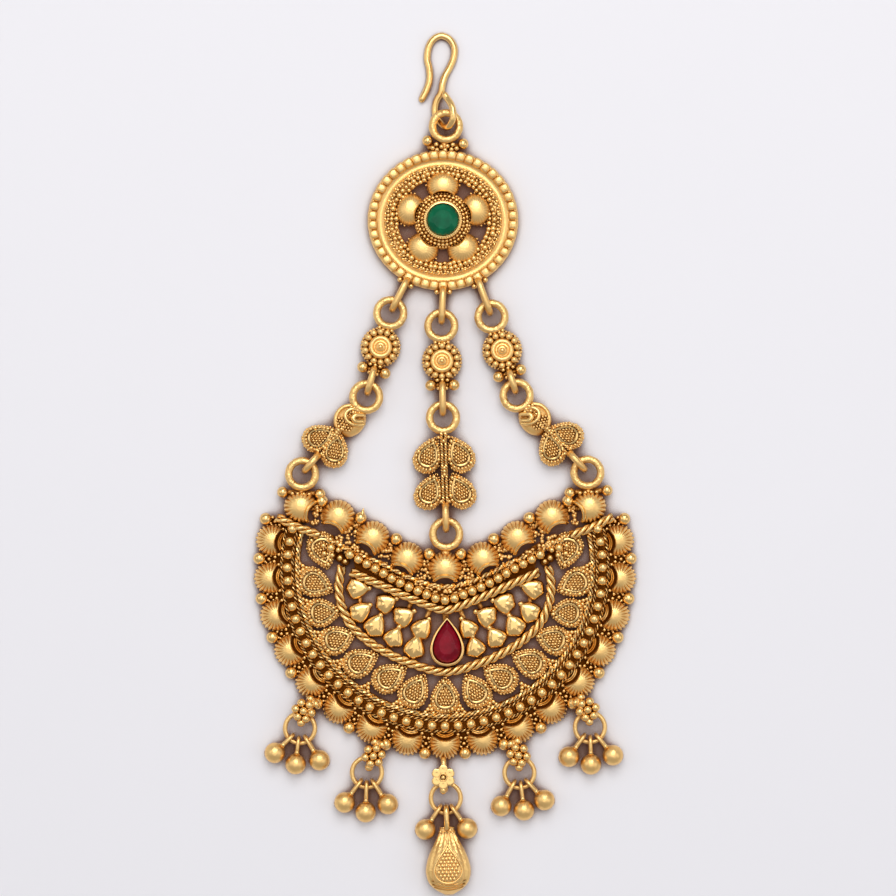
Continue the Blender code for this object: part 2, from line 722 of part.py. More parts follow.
def chain_point(side, place):
    """Middle of a ring of a string, or where its first loop leaves the medallion."""
    across, up = CHAIN_ROUTE[side][place]
    if place == "seat":
        return plate_foot(side) + Vector((across, up)) * RING_OUTER
    if place == "lower":
        start, end = chain_point(side, "upper"), chain_point(side, "seat")
        return start.lerp(end, across) + side_of((end - start).normalized()) * up * RING_OUTER
    return MEDALLION_CENTRE + Vector((across * MEDALLION_HALF_WIDTH, up * MEDALLION_HALF_HEIGHT))


def chain_loop(start, ring):
    along = (ring - start).normalized()
    end = wrap_end(ring, along, RING_MID, RING_WIRE, LINK_GAP, LOOP_WIRE)
    return upright_loop(start, end, RING_LEVEL, LOOP_HALF_HEIGHT, LOOP_WIRE)


def rosette_link(side):
    """Ring, bead rosette, two side beads and the loop through the next ring."""
    ring, following = chain_point(side, "upper"), chain_point(side, "lower")
    along = (following - ring).normalized()
    aside = side_of(along) * (ROSETTE_RADIUS - 1.3 * LINK_BEAD_RADIUS)
    disc = ring + along * (RING_OUTER + ROSETTE_RADIUS - 0.1 * RING_WIRE)
    beads = disc + along * (ROSETTE_RADIUS + LINK_BEAD_RADIUS)
    start = beads - along * LINK_BEAD_RADIUS / 3
    base, top = LINK_BASE, ROSETTE_HEIGHT
    levels = ((0.9, base, 0), (1.0, 0.6 * top, 0), (0.6, 0.9 * top, 0), (0.3, top, 0))
    shapes = [
        relief(circle(disc, ROSETTE_RADIUS, BEAD_SIDES), disc, levels),
        flat_ring(ring, RING_LEVEL, RING_MID, RING_WIRE),
        strip([ring + along * (RING_OUTER - RING_WIRE / 3), start],
              1.4 * RING_WIRE, 1.3 * base, 0.58 * top),
        strip([beads - aside, beads + aside], RING_WIRE, 1.4 * base, 0.62 * top),
        chain_loop(start, following),
    ]
    shapes += [ball(spot, RING_LEVEL, LINK_BEAD_RADIUS) for spot in (beads - aside, beads + aside)]
    node(f"{side}_rosette_link", shapes, GOLD)


# Leaves of the lower links, in pairs: middle of the pair as a share of the link,
# half distance in leaf widths, spread in degrees, size
SPRIGS = {
    "left": ((0.29, 0.3, 14, 0.8), (0.615, 0.4, 18, 1.05)),
    "middle": ((0.319, 0.57, 34, 1.0), (0.629, 0.57, 34, 1.0)),
    "right": ((0.28, 0.3, 14, 0.8), (0.6, 0.4, 18, 1.05)),
}
SPRIG_END = 0.75


def leaf_link(side):
    """Ring, two pairs of granulated leaves on a stem and the loop through the plate's ring."""
    ring, following = chain_point(side, "lower"), chain_point(side, "seat")
    span = following - ring
    along = span.normalized()
    start = ring + span * SPRIG_END
    stem = [ring + along * (RING_OUTER - RING_WIRE / 3), start]
    shapes = [
        strip(stem, STEM_WIDTH, 1.2 * LINK_BASE, 0.7 * SPRIG_HEIGHT),
        flat_ring(ring, RING_LEVEL, RING_MID, RING_WIRE),
        chain_loop(start, following),
    ]
    turn = math.atan2(along.x, -along.y)
    for place, apart, spread, size in SPRIGS[side]:
        for half in (-1, 1):
            centre = ring + span * place - side_of(along) * half * apart * SPRIG_LEAF_WIDTH
            direction = aim(turn - half * spread * DEG)
            outline = drop(centre, direction, SPRIG_LEAF_LENGTH * size, SPRIG_LEAF_WIDTH * size, LEAF_SIDES)
            sink = 0.02 * half * LINK_BASE
            levels = ((1.0, LINK_BASE + sink, 0), (0.8, SPRIG_HEIGHT + sink, 0))
            shapes.append(relief(outline, centre, levels))
    node(f"{side}_leaf_link", shapes, GOLD)


# Hanging groups

def hanging_group(number, pendant):
    _, ring = pendant_places(pendant)
    node(f"drop_ring_{number}", [flat_ring(ring, DROP_LEVEL, DROP_MID, DROP_WIRE)], GOLD)
    for i, (swing, distance) in enumerate(pendant["balls"], start=1):
        direction = aim(swing * DEG)
        centre = ring + direction * distance * DROP_RING_OUTER
        neck = centre - direction * (BALL_RADIUS - BALL_BAIL_WIRE / 2)
        inner = wrap_end(ring, -direction, DROP_MID, DROP_WIRE, BALL_GAP, BALL_BAIL_WIRE)
        shapes = [
            ball(centre, BALL_RADIUS, BALL_RADIUS),
            upright_loop(inner, neck, DROP_LEVEL, BALL_BAIL_HALF_HEIGHT, BALL_BAIL_WIRE),
        ]
        node(f"ball_{number}_{i}", shapes, GOLD)
    return ring


def pear_drop(ring):
    """Engraved pear that lies on its belly, on its own bail."""
    direction = aim(PEAR_SWING)
    across = side_of(direction)
    top = ring + direction * 1.68 * DROP_RING_OUTER
    rings = []
    for place, share in PEAR_SECTIONS:
        middle = top + direction * place * PEAR_LENGTH
        level = DROP_LEVEL + (PEAR_DEPTH / 2 - DROP_LEVEL) * share
        ring_points = []
        for k in range(PEAR_SIDES):
            t = 2 * math.pi * k / PEAR_SIDES
            point = middle + across * math.cos(t) * share * PEAR_WIDTH / 2
            ring_points.append(at(point, level + math.sin(t) * share * PEAR_DEPTH / 2))
        rings.append(ring_points)
    inner = wrap_end(ring, -direction, DROP_MID, DROP_WIRE, BALL_GAP, PEAR_BAIL_WIRE)
    neck = top + direction * PEAR_BAIL_WIRE
    bail = upright_loop(inner, neck, DROP_LEVEL, PEAR_BAIL_HALF_HEIGHT, PEAR_BAIL_WIRE)
    node("pear_drop", [solid(rings), bail], GOLD)


# Hook

def top_hook():
    path = [at(Vector((x, y)) * MM + TOP_RING, z * MM) for x, y, z in HOOK_ROUTE]
    node("top_hook", [tube(path, HOOK_WIRE, Vector((0, 0, 1)))], GOLD)


def stand_on_origin():
    """Hold everything on one empty, with the middle of the back's box at the origin."""
    corners = [shape.matrix_world @ Vector(corner)
               for shape in bpy.data.objects if not shape.name.count("_cuts_")
               for corner in shape.bound_box]
    low = Vector([min(corner[axis] for corner in corners) for axis in range(3)])
    high = Vector([max(corner[axis] for corner in corners) for axis in range(3)])
    holder = bpy.data.objects.new("jhoomar", None)
    holder.location = (-(low.x + high.x) / 2, -(low.y + high.y) / 2, -low.z)
    for shape in list(bpy.data.objects):
        if shape is not holder:
            shape.parent = holder
    bpy.context.scene.collection.objects.link(holder)


def main():
    for old in list(bpy.data.objects):
        bpy.data.objects.remove(old)
    top_hook()
    medallion()
    stones()
    for side in CHAIN_ROUTE:
        rosette_link(side)
        leaf_link(side)
    crescent_plate()
    rings = [hanging_group(i, pendant) for i, pendant in enumerate(PENDANTS, start=1)]
    pear_drop(rings[len(rings) // 2])
    stand_on_origin()


main()
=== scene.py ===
"""The looks of a jhoomar, a gold hair ornament: a hook, a medallion with a green
stone, three strings of cast links, a pierced crescent plate with a red stone and
five groups of hanging balls. Parts are set out in millimetres from the middle of
the crescent plate's circle, and are moved to the model's own place at the end."""

import math
import types
from collections import namedtuple

import bmesh
import bpy
import numpy as np
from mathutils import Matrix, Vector


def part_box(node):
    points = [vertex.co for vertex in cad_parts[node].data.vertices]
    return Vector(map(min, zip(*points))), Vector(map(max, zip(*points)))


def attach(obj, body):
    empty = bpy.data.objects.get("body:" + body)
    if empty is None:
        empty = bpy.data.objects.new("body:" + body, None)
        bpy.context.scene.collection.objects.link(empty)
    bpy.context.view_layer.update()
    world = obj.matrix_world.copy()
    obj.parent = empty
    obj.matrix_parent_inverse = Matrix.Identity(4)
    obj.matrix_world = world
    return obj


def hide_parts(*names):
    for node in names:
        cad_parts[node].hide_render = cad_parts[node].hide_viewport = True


bl_info = {
    "name": "Jhoomar",
    "version": (1, 0, 0),
    "blender": (4, 5, 0),
    "location": "3D View > Sidebar > Jhoomar",
    "description": "Makes a gold jhoomar with a green and a red stone",
    "category": "Add Mesh",
}

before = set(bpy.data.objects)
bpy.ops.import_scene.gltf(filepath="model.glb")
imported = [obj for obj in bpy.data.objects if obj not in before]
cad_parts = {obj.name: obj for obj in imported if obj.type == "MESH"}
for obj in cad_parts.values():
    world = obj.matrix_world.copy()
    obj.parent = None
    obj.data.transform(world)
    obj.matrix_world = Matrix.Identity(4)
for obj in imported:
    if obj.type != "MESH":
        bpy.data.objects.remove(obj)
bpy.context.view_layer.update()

MM = 0.001
DEG = math.pi / 180
UP = np.array((0.0, 0.0, 1.0))

# Clearances, wires and widths that no user would change, in millimetres
RING_GAP = 0.3
BALL_GAP = 0.2
PEAR_GAP = 0.15
BAIL_WIRE = 0.8
BALL_WIRE = 0.6
PEAR_WIRE = 0.85
BORDER_WIDTH = 4.5
LEAF_LENGTH = 4.6
NUGGET_WIDTH = 3.6
NUGGET_BASE = 0.4
PETAL_REACH = 5.2

# Length of a petal as a share of its width
PETAL_SQUEEZE = 0.88

# Points along a wire loop
LOOP_STEPS = 26

# The medallion's middle, its top ring from the middle of its upper rim, and the
# beads beside that ring
MEDALLION_MIDDLE = (-0.31, 52.1)
TOP_RING_OFFSET = (0.45, 3.55)
CROWN_BEADS = ((-2.6, 64.0, 1.45), (2.7, 63.55, 1.45))

# Stones: the level that the facets of each are set out from, and the red one's middle
# as shares of the plate's radius, its length and its width
GREEN_LEVEL = 3.4
RED_LEVEL = 2.3
RED_MIDDLE = (0.012, -0.418)
RED_LENGTH = 6.3
RED_WIDTH = 4.05

# How far round from straight down the border's band and its ropes go
BAND_END = 106.5 * DEG
ROPE_END = 104 * DEG

# An upper edge fan's width and height, as shares of a border fan's
EDGE_FAN_WIDTH = 1.08
EDGE_FAN_HEIGHT = 1.15

# Camera: height over the table in metres, place across and up in millimetres, focal
# length and sensor in millimetres
CAMERA_HEIGHT = 0.6
CAMERA_PLACE = (0.45, 2.32)
FOCAL_LENGTH = 160.6
SENSOR = 36.0

# Half the floor's width, in metres
FLOOR_HALF = 0.9

# The plate's circle stands this far below the middle of the model's box. The red
# stone's upper point tells it.
RED_TOP = 7.802
PLATE_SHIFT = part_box("red_stone")[1].y / MM + RED_TOP

# Ring centres of each string: where its first loop leaves the medallion, its two
# links' rings and the plate's ring
STRINGS = {
    "left": ((-6.17, 42.3), (-8.19, 38.18), (-11.79, 25.65), (-21.38, 14.1)),
    "middle": ((-0.27, 42.0), (-0.55, 36.29), (-0.3, 22.56), (0.18, 5.15)),
    "right": ((5.54, 42.1), (6.96, 37.65), (10.72, 25.88), (21.3, 14.33)),
}

# Route of the hook's wire from its open end round the eye to the medallion's ring:
# across and up from the middle of that ring, and the height of the wire's middle
HOOK_ROUTE = (
    (-3.62, 4.14, 0.48), (-2.9, 5.57, 0.48), (-2.45, 7.07, 0.48), (-2.49, 8.72, 0.48),
    (-2.82, 10.3, 0.48), (-2.52, 12.17, 0.48), (-1.7, 13.29, 0.48), (-0.6, 13.67, 0.48),
    (0.56, 13.14, 0.48), (1.26, 11.87, 0.48), (1.16, 10.37, 0.48), (0.6, 8.97, 0.48),
    (-0.12, 7.67, 0.6), (-0.5, 6.47, 0.75), (-0.72, 5.12, 0.75), (-1.35, 4.07, 0.6),
    (-1.65, 2.87, 0.48), (-1.55, 1.74, 0.48), (-1.02, 0.84, 0.7), (-0.2, -0.06, 1.6),
    (0.5, 0.0, 2.5), (1.0, 0.92, 3.1), (1.08, 2.12, 3.15), (0.75, 3.24, 2.75),
    (0.25, 4.07, 2.25), (-0.2, 4.72, 2.0),
)

# The plate's upper edge: fans at these shares of the horn's distance from the
# middle, and beads at the first column, set out by the second in fan radii
EDGE_FANS = (0.0, 0.261, 0.5, 0.74)
EDGE_BEADS = ((0.13, 0.78), (0.38, 0.74), (0.62, 0.62), (0.868, 0.55))

# Curves inside the plate, right half, as shares of its radius
UPPER_ROPE = ((0.0, -0.238), (0.124, -0.2), (0.31, -0.12), (0.536, -0.02))
BEAD_ROW = ((0.0, -0.181), (0.138, -0.135), (0.266, -0.077), (0.394, -0.003), (0.567, 0.092))
BOAT_ROPE = (
    (0.0, -0.593), (0.189, -0.547), (0.321, -0.49), (0.418, -0.433), (0.499, -0.367),
    (0.556, -0.298), (0.596, -0.2), (0.607, -0.097), (0.59, 0.011),
)
HORN_ROPE = ((0.957, 0.292), (0.84, 0.235), (0.722, 0.19))
EDGE_ROPE = (
    (0.0, -0.105), (0.12, -0.085), (0.231, -0.041), (0.382, 0.034), (0.517, 0.085),
    (0.635, 0.152), (0.722, 0.19),
)
UPPER_FIELD = ((0.0, -0.255), (0.124, -0.217), (0.31, -0.137), (0.555, -0.02))

# Ropes along the border: distance from the plate's middle, height, radius, run of a
# whole turn, finish, strands and lay
BORDER_ROPES = (
    (22.15, 1.4, 0.42, 2.3, "polished", 3, 0.58),
    (22.85, 1.3, 0.3, 1.5, "satin", 2, 0.62),
    (24.45, 1.15, 0.28, 1.4, "satin", 2, 0.6),
)

# Granules between two border fans: distance from the plate's middle, turn from
# halfway between the fans, height
BORDER_GRAINS = (
    (26.4, 0, 1.3), (25.6, 0.012, 1.3), (25.5, -0.014, 1.3), (24.9, 0.03, 1.35),
    (24.95, -0.03, 1.35), (27.0, 0.016, 1.1), (26.9, -0.018, 1.1),
)

# Beads heaped where the ropes meet, right half: place as shares of the plate's radius
# and size
ROPE_END_BEADS = (
    (0.652, 0.118, 1.4), (0.61, 0.105, 0.9), (0.645, 0.075, 0.9), (0.69, 0.085, 0.9),
    (0.695, 0.13, 0.9), (0.655, 0.165, 0.9), (0.615, 0.15, 0.8), (0.6, 0.06, 0.9),
    (0.57, 0.04, 0.8),
)

# Wall round the red stone: margin outside the stone and height
RED_BEZEL = (
    (0.55, 0.2), (0.55, 2.0), (0.5, 2.25), (0.42, 2.34), (0.2, 2.34), (0.12, 2.2), (0.12, 0.2),
)

# Granulated leaves, right half: the middle as shares of the plate's radius, and the
# turn of the round end from straight down
LEAVES = (
    (0.0, -0.752, 0), (0.158, -0.709, 40), (0.307, -0.633, 65), (0.476, -0.547, 71),
    (0.622, -0.427, 80), (0.716, -0.272, 99), (0.756, -0.092, 121), (0.7, 0.098, 163),
)

# Nuggets, right half, in columns of two, the same way
NUGGETS = (
    ((0.495, -0.115, 80), (0.48, -0.246, 45)),
    ((0.334, -0.198, 70), (0.397, -0.325, 35)),
    ((0.232, -0.273, 60), (0.289, -0.393, 25)),
    ((0.128, -0.34, 40), (0.172, -0.449, 10)),
)

# Hanging groups: angle of the bead cluster from straight down, its distance out from
# the plate's middle, swing of the ring, its fall below the cluster in ring radii, and
# the turn and distance of each ball in ring radii
Pendant = namedtuple("Pendant", "angle out swing fall balls")
PENDANTS = tuple(Pendant(*row) for row in (
    (-44.8, 30.0, -12, 1.06, ((-45.7, 2.04), (-7, 2.09), (31.4, 2.17))),
    (-20.9, 30.0, -21, 1.06, ((-36.7, 2.17), (-1.9, 2.3), (33.3, 2.19))),
    (-0.5, 31.2, 7, 1.25, ((-33, 2.18), (35, 2.16))),
    (21.5, 30.0, 3, 1.06, ((-28.9, 2.19), (7.1, 2.18), (42.7, 2.14))),
    (45.3, 30.0, 8, 1.06, ((-35.6, 2.1), (1.5, 2.15), (39.4, 2.1))),
))
MIDDLE_PENDANT = PENDANTS[len(PENDANTS) // 2]

# Leaf pairs of the lower links: middle as a share of the link, half distance in leaf
# widths, spread in degrees, size
SPRIGS = {
    "left": ((0.6, 0.4, 27, 1.02),),
    "middle": ((0.315, 0.61, 24, 1.07), (0.627, 0.61, 24, 1.07)),
    "right": ((0.59, 0.4, 27, 1.02),),
}

# Folded leaf of the side links: the curled edge, the fold on it and the curl of the
# smooth side, each with its route ahead, aside and up, its radius and its finish
FOLDS = (
    (((-2.0, 0.5, 2.1), (-1.5, -0.5, 2.35), (-0.5, -0.8, 2.5), (0.2, -0.1, 2.6), (0.2, 0.9, 2.55),
      (-0.2, 1.7, 2.35), (-0.9, 2.3, 2.0)), 0.3, "polished"),
    (((-1.9, 1.4, 1.95), (-1.2, 0.6, 2.35), (-0.6, 0.5, 2.5), (-0.5, 1.2, 2.45), (-1.1, 1.9, 2.1)),
     0.42, "polished"),
    (((-1.9, -0.9, 1.8), (-0.8, -1.7, 1.8), (0.6, -1.7, 1.8), (1.7, -0.9, 1.85), (2.3, 0.2, 1.8)),
     0.34, "satin"),
)

# Pear outline from top to foot: distance in its length, half width in half its width
PEAR_SECTIONS = (
    (0.0, 0.3), (0.06, 0.34), (0.14, 0.43), (0.25, 0.6), (0.35, 0.76), (0.48, 0.91),
    (0.64, 1.0), (0.8, 0.9), (0.91, 0.63), (1.0, 0.2),
)


# Colours that a user would leave alone
# Brown of the painted shadow on the floor where metal closes it in
PAINTED_FLOOR_SHADOW = (0.19, 0.095, 0.065)
GREEN_CLOUDS = (0.02, 0.34, 0.18)
RED_CLOUDS = (0.8, 0.12, 0.25)
DAYLIGHT = (0.96, 0.955, 0.98, 1)


# Sizes and finishes that a user would change

def length(name, description, default):
    """A length property; the default is given in millimetres."""
    return bpy.props.FloatProperty(name=name, description=description, default=default * MM,
                                   min=0.0, max=0.2, precision=5, subtype="DISTANCE", unit="LENGTH")


def share(name, description, default):
    """A property between 0 and 1."""
    return bpy.props.FloatProperty(name=name, description=description, default=default,
                                   min=0.0, max=1.0, subtype="FACTOR")


def colour(name, description, default):
    """A colour property."""
    return bpy.props.FloatVectorProperty(name=name, description=description, default=default,
                                         min=0.0, max=1.0, size=3, subtype="COLOR")


class PlateSizes(bpy.types.PropertyGroup):
    """Sizes of the crescent plate."""

    radius: length("Radius", "Circle through the middles of the border fans", 26.2)
    thickness: length("Thickness", "Thickness of the cast ground", 1.1)
    horn_radius: length("Horn distance", "From the plate's middle to a horn's fan", 23.5)
    horn_angle: bpy.props.FloatProperty(
        name="Horn angle", description="Turn of a horn from straight down",
        default=113 * DEG, min=0.5, max=3.0, subtype="ANGLE")
    edge_depth: length("Edge depth", "Fall of the upper edge from horn to middle", 9.2)
    fan_radius: length("Fan radius", "Half width of a ribbed fan", 2.35)
    fan_height: length("Fan height", "Rise of a fan above the ground", 1.75)
    fan_step: bpy.props.FloatProperty(
        name="Fan step", description="Angle between the border's fans",
        default=12.4 * DEG, min=0.05, max=1.0, subtype="ANGLE")
    edge_bead: length("Edge bead", "Radius of the beads between the fans", 0.92)
    row_bead: length("Row bead", "Radius of the beads in the inner rows", 0.76)
    rope: length("Rope", "Radius of the thick twisted ropes", 0.76)
    leaf_width: length("Leaf width", "Width of a granulated leaf", 4.5)
    leaf_height: length("Leaf height", "Rise of a granulated leaf", 1.85)
    nugget_length: length("Nugget length", "Length of a polished nugget", 3.9)
    nugget_height: length("Nugget height", "Rise of a polished nugget", 1.85)


class MedallionSizes(bpy.types.PropertyGroup):
    """Sizes of the medallion."""

    half_width: length("Half width", "From the middle to the rim, across", 11.3)
    half_height: length("Half height", "From the middle to the rim, up", 10.5)
    rim_height: length("Rim height", "Rise of the rim's blocks", 2.35)
    blocks: bpy.props.IntProperty(name="Rim blocks", description="Rounded blocks on the rim",
                                  default=46, min=8, max=90)
    hub_radius: length("Hub radius", "Radius of the granulated hub", 4.05)
    petal_radius: length("Petal radius", "Half width of a ribbed petal", 2.5)
    green_radius: length("Green stone", "Radius of the round stone", 2.35)


class FineSizes(bpy.types.PropertyGroup):
    """Sizes of links, wires, granules and hanging pieces."""

    ring_radius: length("Chain ring", "Outer radius of a chain's ring", 2.58)
    ring_wire: length("Ring wire", "Thickness of a chain ring's wire", 1.15)
    loop_wire: length("Loop wire", "Thickness of a loop's wire", 1.0)
    rosette_radius: length("Rosette", "Radius of a rosette link's disc", 2.8)
    granule: length("Granule", "Radius of the finest granules", 0.2)
    drop_ring: length("Hanging ring", "Outer radius of a hanging ring", 2.58)
    drop_wire: length("Hanging ring wire", "Thickness of a hanging ring's wire", 0.7)
    ball_radius: length("Ball", "Radius of a hanging ball", 1.55)
    pear_length: length("Pear length", "Length of the pear drop", 10.1)
    pear_width: length("Pear width", "Width of the pear drop", 6.75)
    pear_depth: length("Pear depth", "Depth of the pear drop", 4.35)
    hook_wire: length("Hook wire", "Thickness of the hook's wire", 1.0)


class Finishes(bpy.types.PropertyGroup):
    """Colours and polish of the gold, the stones and the floor."""

    # Gold is the metal's own colour on open places. The warm gold is the same metal as painted shade on
    # less open places, and it also gives a random warm tint. The patina colour in the hollows is partly
    # the antique gold's real patina and partly painted shade.
    gold: colour("Gold", "Bare metal on the high places", (0.94, 0.62, 0.24))
    warm_gold: colour("Warm gold", "Metal on the slopes", (0.72, 0.29, 0.035))
    patina_and_shade: colour("Patina", "Dark colour left in the hollows", (0.16, 0.042, 0.003))
    polish: share("Polish", "Roughness of the polished places", 0.2)
    satin: share("Satin", "Roughness of the satin places", 0.36)
    green: colour("Green stone", "Colour of the round stone", (0.0, 0.16, 0.065))
    red: colour("Red stone", "Colour of the drop stone", (0.3, 0.001, 0.014))
    floor: colour("Floor", "Colour of the pale floor", (0.83, 0.817, 0.845))


def in_millimetres(group):
    """The values of a property group, its lengths in millimetres."""
    values = {}
    for prop in group.bl_rna.properties:
        if prop.identifier in group.__annotations__:
            value = getattr(group, prop.identifier)
            values[prop.identifier] = value / MM if getattr(prop, "unit", "") == "LENGTH" else value
    return types.SimpleNamespace(**values)


# Nodes, for materials and for Geometry Nodes alike

class Value:
    """One output of a node; sums on it add Math nodes."""

    def __init__(self, tree, socket):
        self.tree = tree
        self.socket = socket

    def maths(self, operation, *others):
        values = dict(enumerate((self, *others)))
        return add_node(self.tree, "ShaderNodeMath", {"operation": operation}, values)

    def __add__(self, other):
        return self.maths("ADD", other)

    def __radd__(self, other):
        return self.maths("ADD", other)

    def __sub__(self, other):
        return self.maths("SUBTRACT", other)

    def __rsub__(self, other):
        return add_node(self.tree, "ShaderNodeMath", {"operation": "SUBTRACT"}, {0: other, 1: self})

    def __mul__(self, other):
        return self.maths("MULTIPLY", other)

    def __truediv__(self, other):
        return self.maths("DIVIDE", other)

    def sine(self):
        return self.maths("SINE")

    def cosine(self):
        return self.maths("COSINE")

    def held(self):
        """Kept between 0 and 1."""
        return add_node(self.tree, "ShaderNodeClamp", {}, {"Value": self})

    def along(self, other):
        """This vector times a value."""
        return add_node(self.tree, "ShaderNodeVectorMath", {"operation": "SCALE"},
                        {0: self, "Scale": other})

    def vectors(self, operation, other):
        return add_node(self.tree, "ShaderNodeVectorMath", {"operation": operation},
                        {0: self, 1: other})

    def output(self, name):
        """Another output of the same node."""
        return Value(self.tree, self.socket.node.outputs[name])


def add_node(tree, kind, settings=None, sockets=None):
    """A node with its settings, then its sockets' values or links; its first live output."""
    node = tree.nodes.new(kind)
    for name, setting in (settings or {}).items():
        if name == "stops":
            for stop in setting[2:]:
                node.color_ramp.elements.new(stop[0])
            for element, (place, tone) in zip(node.color_ramp.elements, setting):
                element.position = place
                element.color = (*tone, 1)
        else:
            setattr(node, name, setting)
    for name, value in (sockets or {}).items():
        socket = node.inputs[name]
        if isinstance(value, Value):
            tree.links.new(value.socket, socket)
        else:
            socket.default_value = value
    live = [socket for socket in node.outputs if socket.enabled]
    return Value(tree, live[0]) if live else node


def blend(tree, factor, first, second):
    """Mix of two colours; a plain colour is given as three numbers."""
    node = tree.nodes.new("ShaderNodeMix")
    node.data_type = "RGBA"
    for socket, value in ((node.inputs[0], factor), (node.inputs[6], first), (node.inputs[7], second)):
        if isinstance(value, Value):
            tree.links.new(value.socket, socket)
        elif socket.type == "RGBA":
            socket.default_value = (*value, 1)
        else:
            socket.default_value = value
    return Value(tree, node.outputs[2])


def new_material(name):
    """A node material, its tree and shader, and the place on the object in metres."""
    material = bpy.data.materials.new(name)
    material.use_nodes = True
    tree = material.node_tree
    tree.nodes.clear()
    shader = tree.nodes.new("ShaderNodeBsdfPrincipled")
    surface = tree.nodes.new("ShaderNodeOutputMaterial")
    tree.links.new(shader.outputs[0], surface.inputs[0])
    return material, tree, shader, add_node(tree, "ShaderNodeTexCoord").output("Object")


def noise(tree, place, scale, detail=2.0, distortion=0.0):
    """Soft noise; scale counts its clouds in a metre."""
    return add_node(tree, "ShaderNodeTexNoise", {}, {
        "Vector": place, "Scale": scale, "Detail": detail, "Distortion": distortion})


def openness(tree, reach, samples):
    """How much open sky a place sees, feeling as far as the reach in millimetres."""
    return add_node(tree, "ShaderNodeAmbientOcclusion", {"samples": samples},
                    {"Distance": reach * MM}).output("AO")


def wear(shader, **sockets):
    """Sets or links the shader's own sockets, an underscore standing for a space."""
    for name, value in sockets.items():
        socket = shader.inputs[name.replace("_", " ")]
        if isinstance(value, Value):
            value.tree.links.new(value.socket, socket)
        else:
            socket.default_value = value


def gold_material(name, finishes, roughness, hollow_reach, dark, bare, grain, grain_depth):
    """Cast gold whose colour follows how open each place is to the sky (ambient occlusion):
    bright gold where open, warm gold as painted shade where less open, and patina in the
    hollows, which is partly the real patina of the antique gold and partly painted shade; with
    a fine cast grain. hollow_reach is how far a hollow is felt and grain the size of the
    casting's marks, in millimetres; a place is dark below one openness and bare above
    the other."""
    material, tree, shader, place = new_material(name)
    open_sky = openness(tree, hollow_reach, 6)
    cloud = noise(tree, place, 420.0)
    speckle = noise(tree, place, 1 / (grain * MM), 1.0)
    lit = (open_sky + (speckle - 0.5) * 0.2 + (cloud - 0.5) * 0.1).held()
    # high is how open a place is (ambient occlusion), not how high it stands; painted shade goes where it
    # is low
    high = ((lit - dark) / (bare - dark)).held()
    # Warm gold on less open places is painted shade; gold stays on the open places
    metal = blend(tree, (high * 1.8 - 0.8).held(), finishes.warm_gold[:], finishes.gold[:])
    tinted = blend(tree, (cloud * 1.3 - 0.35).held() * 0.25, metal, finishes.warm_gold[:])
    # Patina colour on the least open places: partly real patina, partly painted shade in the hollows
    base = blend(tree, (high * 1.8).held(), finishes.patina_and_shade[:], tinted)
    rough = (1.0 - high) * 0.3 + roughness + (speckle - 0.5) * 0.12
    dents = add_node(tree, "ShaderNodeTexVoronoi", {"feature": "SMOOTH_F1"},
                     {"Vector": place, "Scale": 0.62 / (grain * MM), "Smoothness": 0.6})
    bump = add_node(tree, "ShaderNodeBump", {},
                    {"Height": dents * 0.7 + speckle * 0.4, "Strength": grain_depth,
                     "Distance": 0.12 * MM})
    wear(shader, Base_Color=base, Roughness=rough.held(), Normal=bump, Metallic=1.0)
    return material


def stone_material(name, tone, pale):
    """Polished stone, darker and lighter in soft clouds inside, with faint pale veins."""
    material, tree, shader, place = new_material(name)
    cloud = noise(tree, place, 520.0, 3.0)
    veins = noise(tree, place, 1500.0, distortion=1.2)
    deep = [part * 0.35 for part in tone]
    base = blend(tree, (cloud * 1.6 - 0.3).held(), deep, tone)
    base = blend(tree, (veins * 2.0 - 1.1).held() * 0.2, base, pale)
    wear(shader, Base_Color=base, Roughness=0.08 + veins * 0.08)
    wear(shader, IOR=1.5, Specular_IOR_Level=0.2)
    return material


def seam_material(name, finishes):
    """Dark seam of a hollow ball, nearly all patina."""
    material, tree, shader, place = new_material(name)
    cloud = noise(tree, place, 2500.0)
    base = blend(tree, (cloud - 0.3).held(), finishes.patina_and_shade[:], finishes.warm_gold[:])
    wear(shader, Base_Color=base, Roughness=0.5 + cloud * 0.2, Metallic=0.8)
    return material


def floor_material(name, tone):
    """Pale matt paper with a faint unevenness, and a brown painted shadow where metal closes it in."""
    material, tree, shader, place = new_material(name)
    cloud = noise(tree, place, 30.0, 3.0)
    paper = blend(tree, cloud, [part * 0.985 for part in tone], tone)
    # Painted shadow: the floor turns brown where the metal around closes it in (ambient occlusion)
    painted_shadow = ((0.67 - openness(tree, 3.2, 10)) * 4.5).held()
    wear(shader, Base_Color=blend(tree, painted_shadow, paper, PAINTED_FLOOR_SHADOW),
         Roughness=0.75 + cloud * 0.1)
    return material


def make_materials(finishes):
    """Every finish by its name."""
    # Every gold finish darkens its less open places by ambient occlusion, partly as real patina and partly
    # as painted shade; the last two finishes darken most
    gold = (
        ("polished", finishes.polish, 0.8, 0.26, 0.62, 0.16, 0.1),
        ("satin", finishes.satin, 0.9, 0.28, 0.62, 0.13, 0.25),
        ("hammered", finishes.satin, 0.9, 0.22, 0.56, 0.2, 0.8),
        ("aged", finishes.satin + 0.06, 1.3, 0.4, 0.88, 0.1, 0.35),
        ("ground", finishes.satin + 0.1, 1.3, 0.66, 1.4, 0.1, 0.4),
    )
    made = {name: gold_material(f"{name}_gold", finishes, *rest) for name, *rest in gold}
    made["green"] = stone_material("green_stone_glass", finishes.green[:], GREEN_CLOUDS)
    made["red"] = stone_material("red_stone_glass", finishes.red[:], RED_CLOUDS)
    made["seam"] = seam_material("ball_seam", finishes)
    made["floor"] = floor_material("pale_floor", finishes.floor[:])
    return made


finish_of = {}


# Points and curves, in millimetres

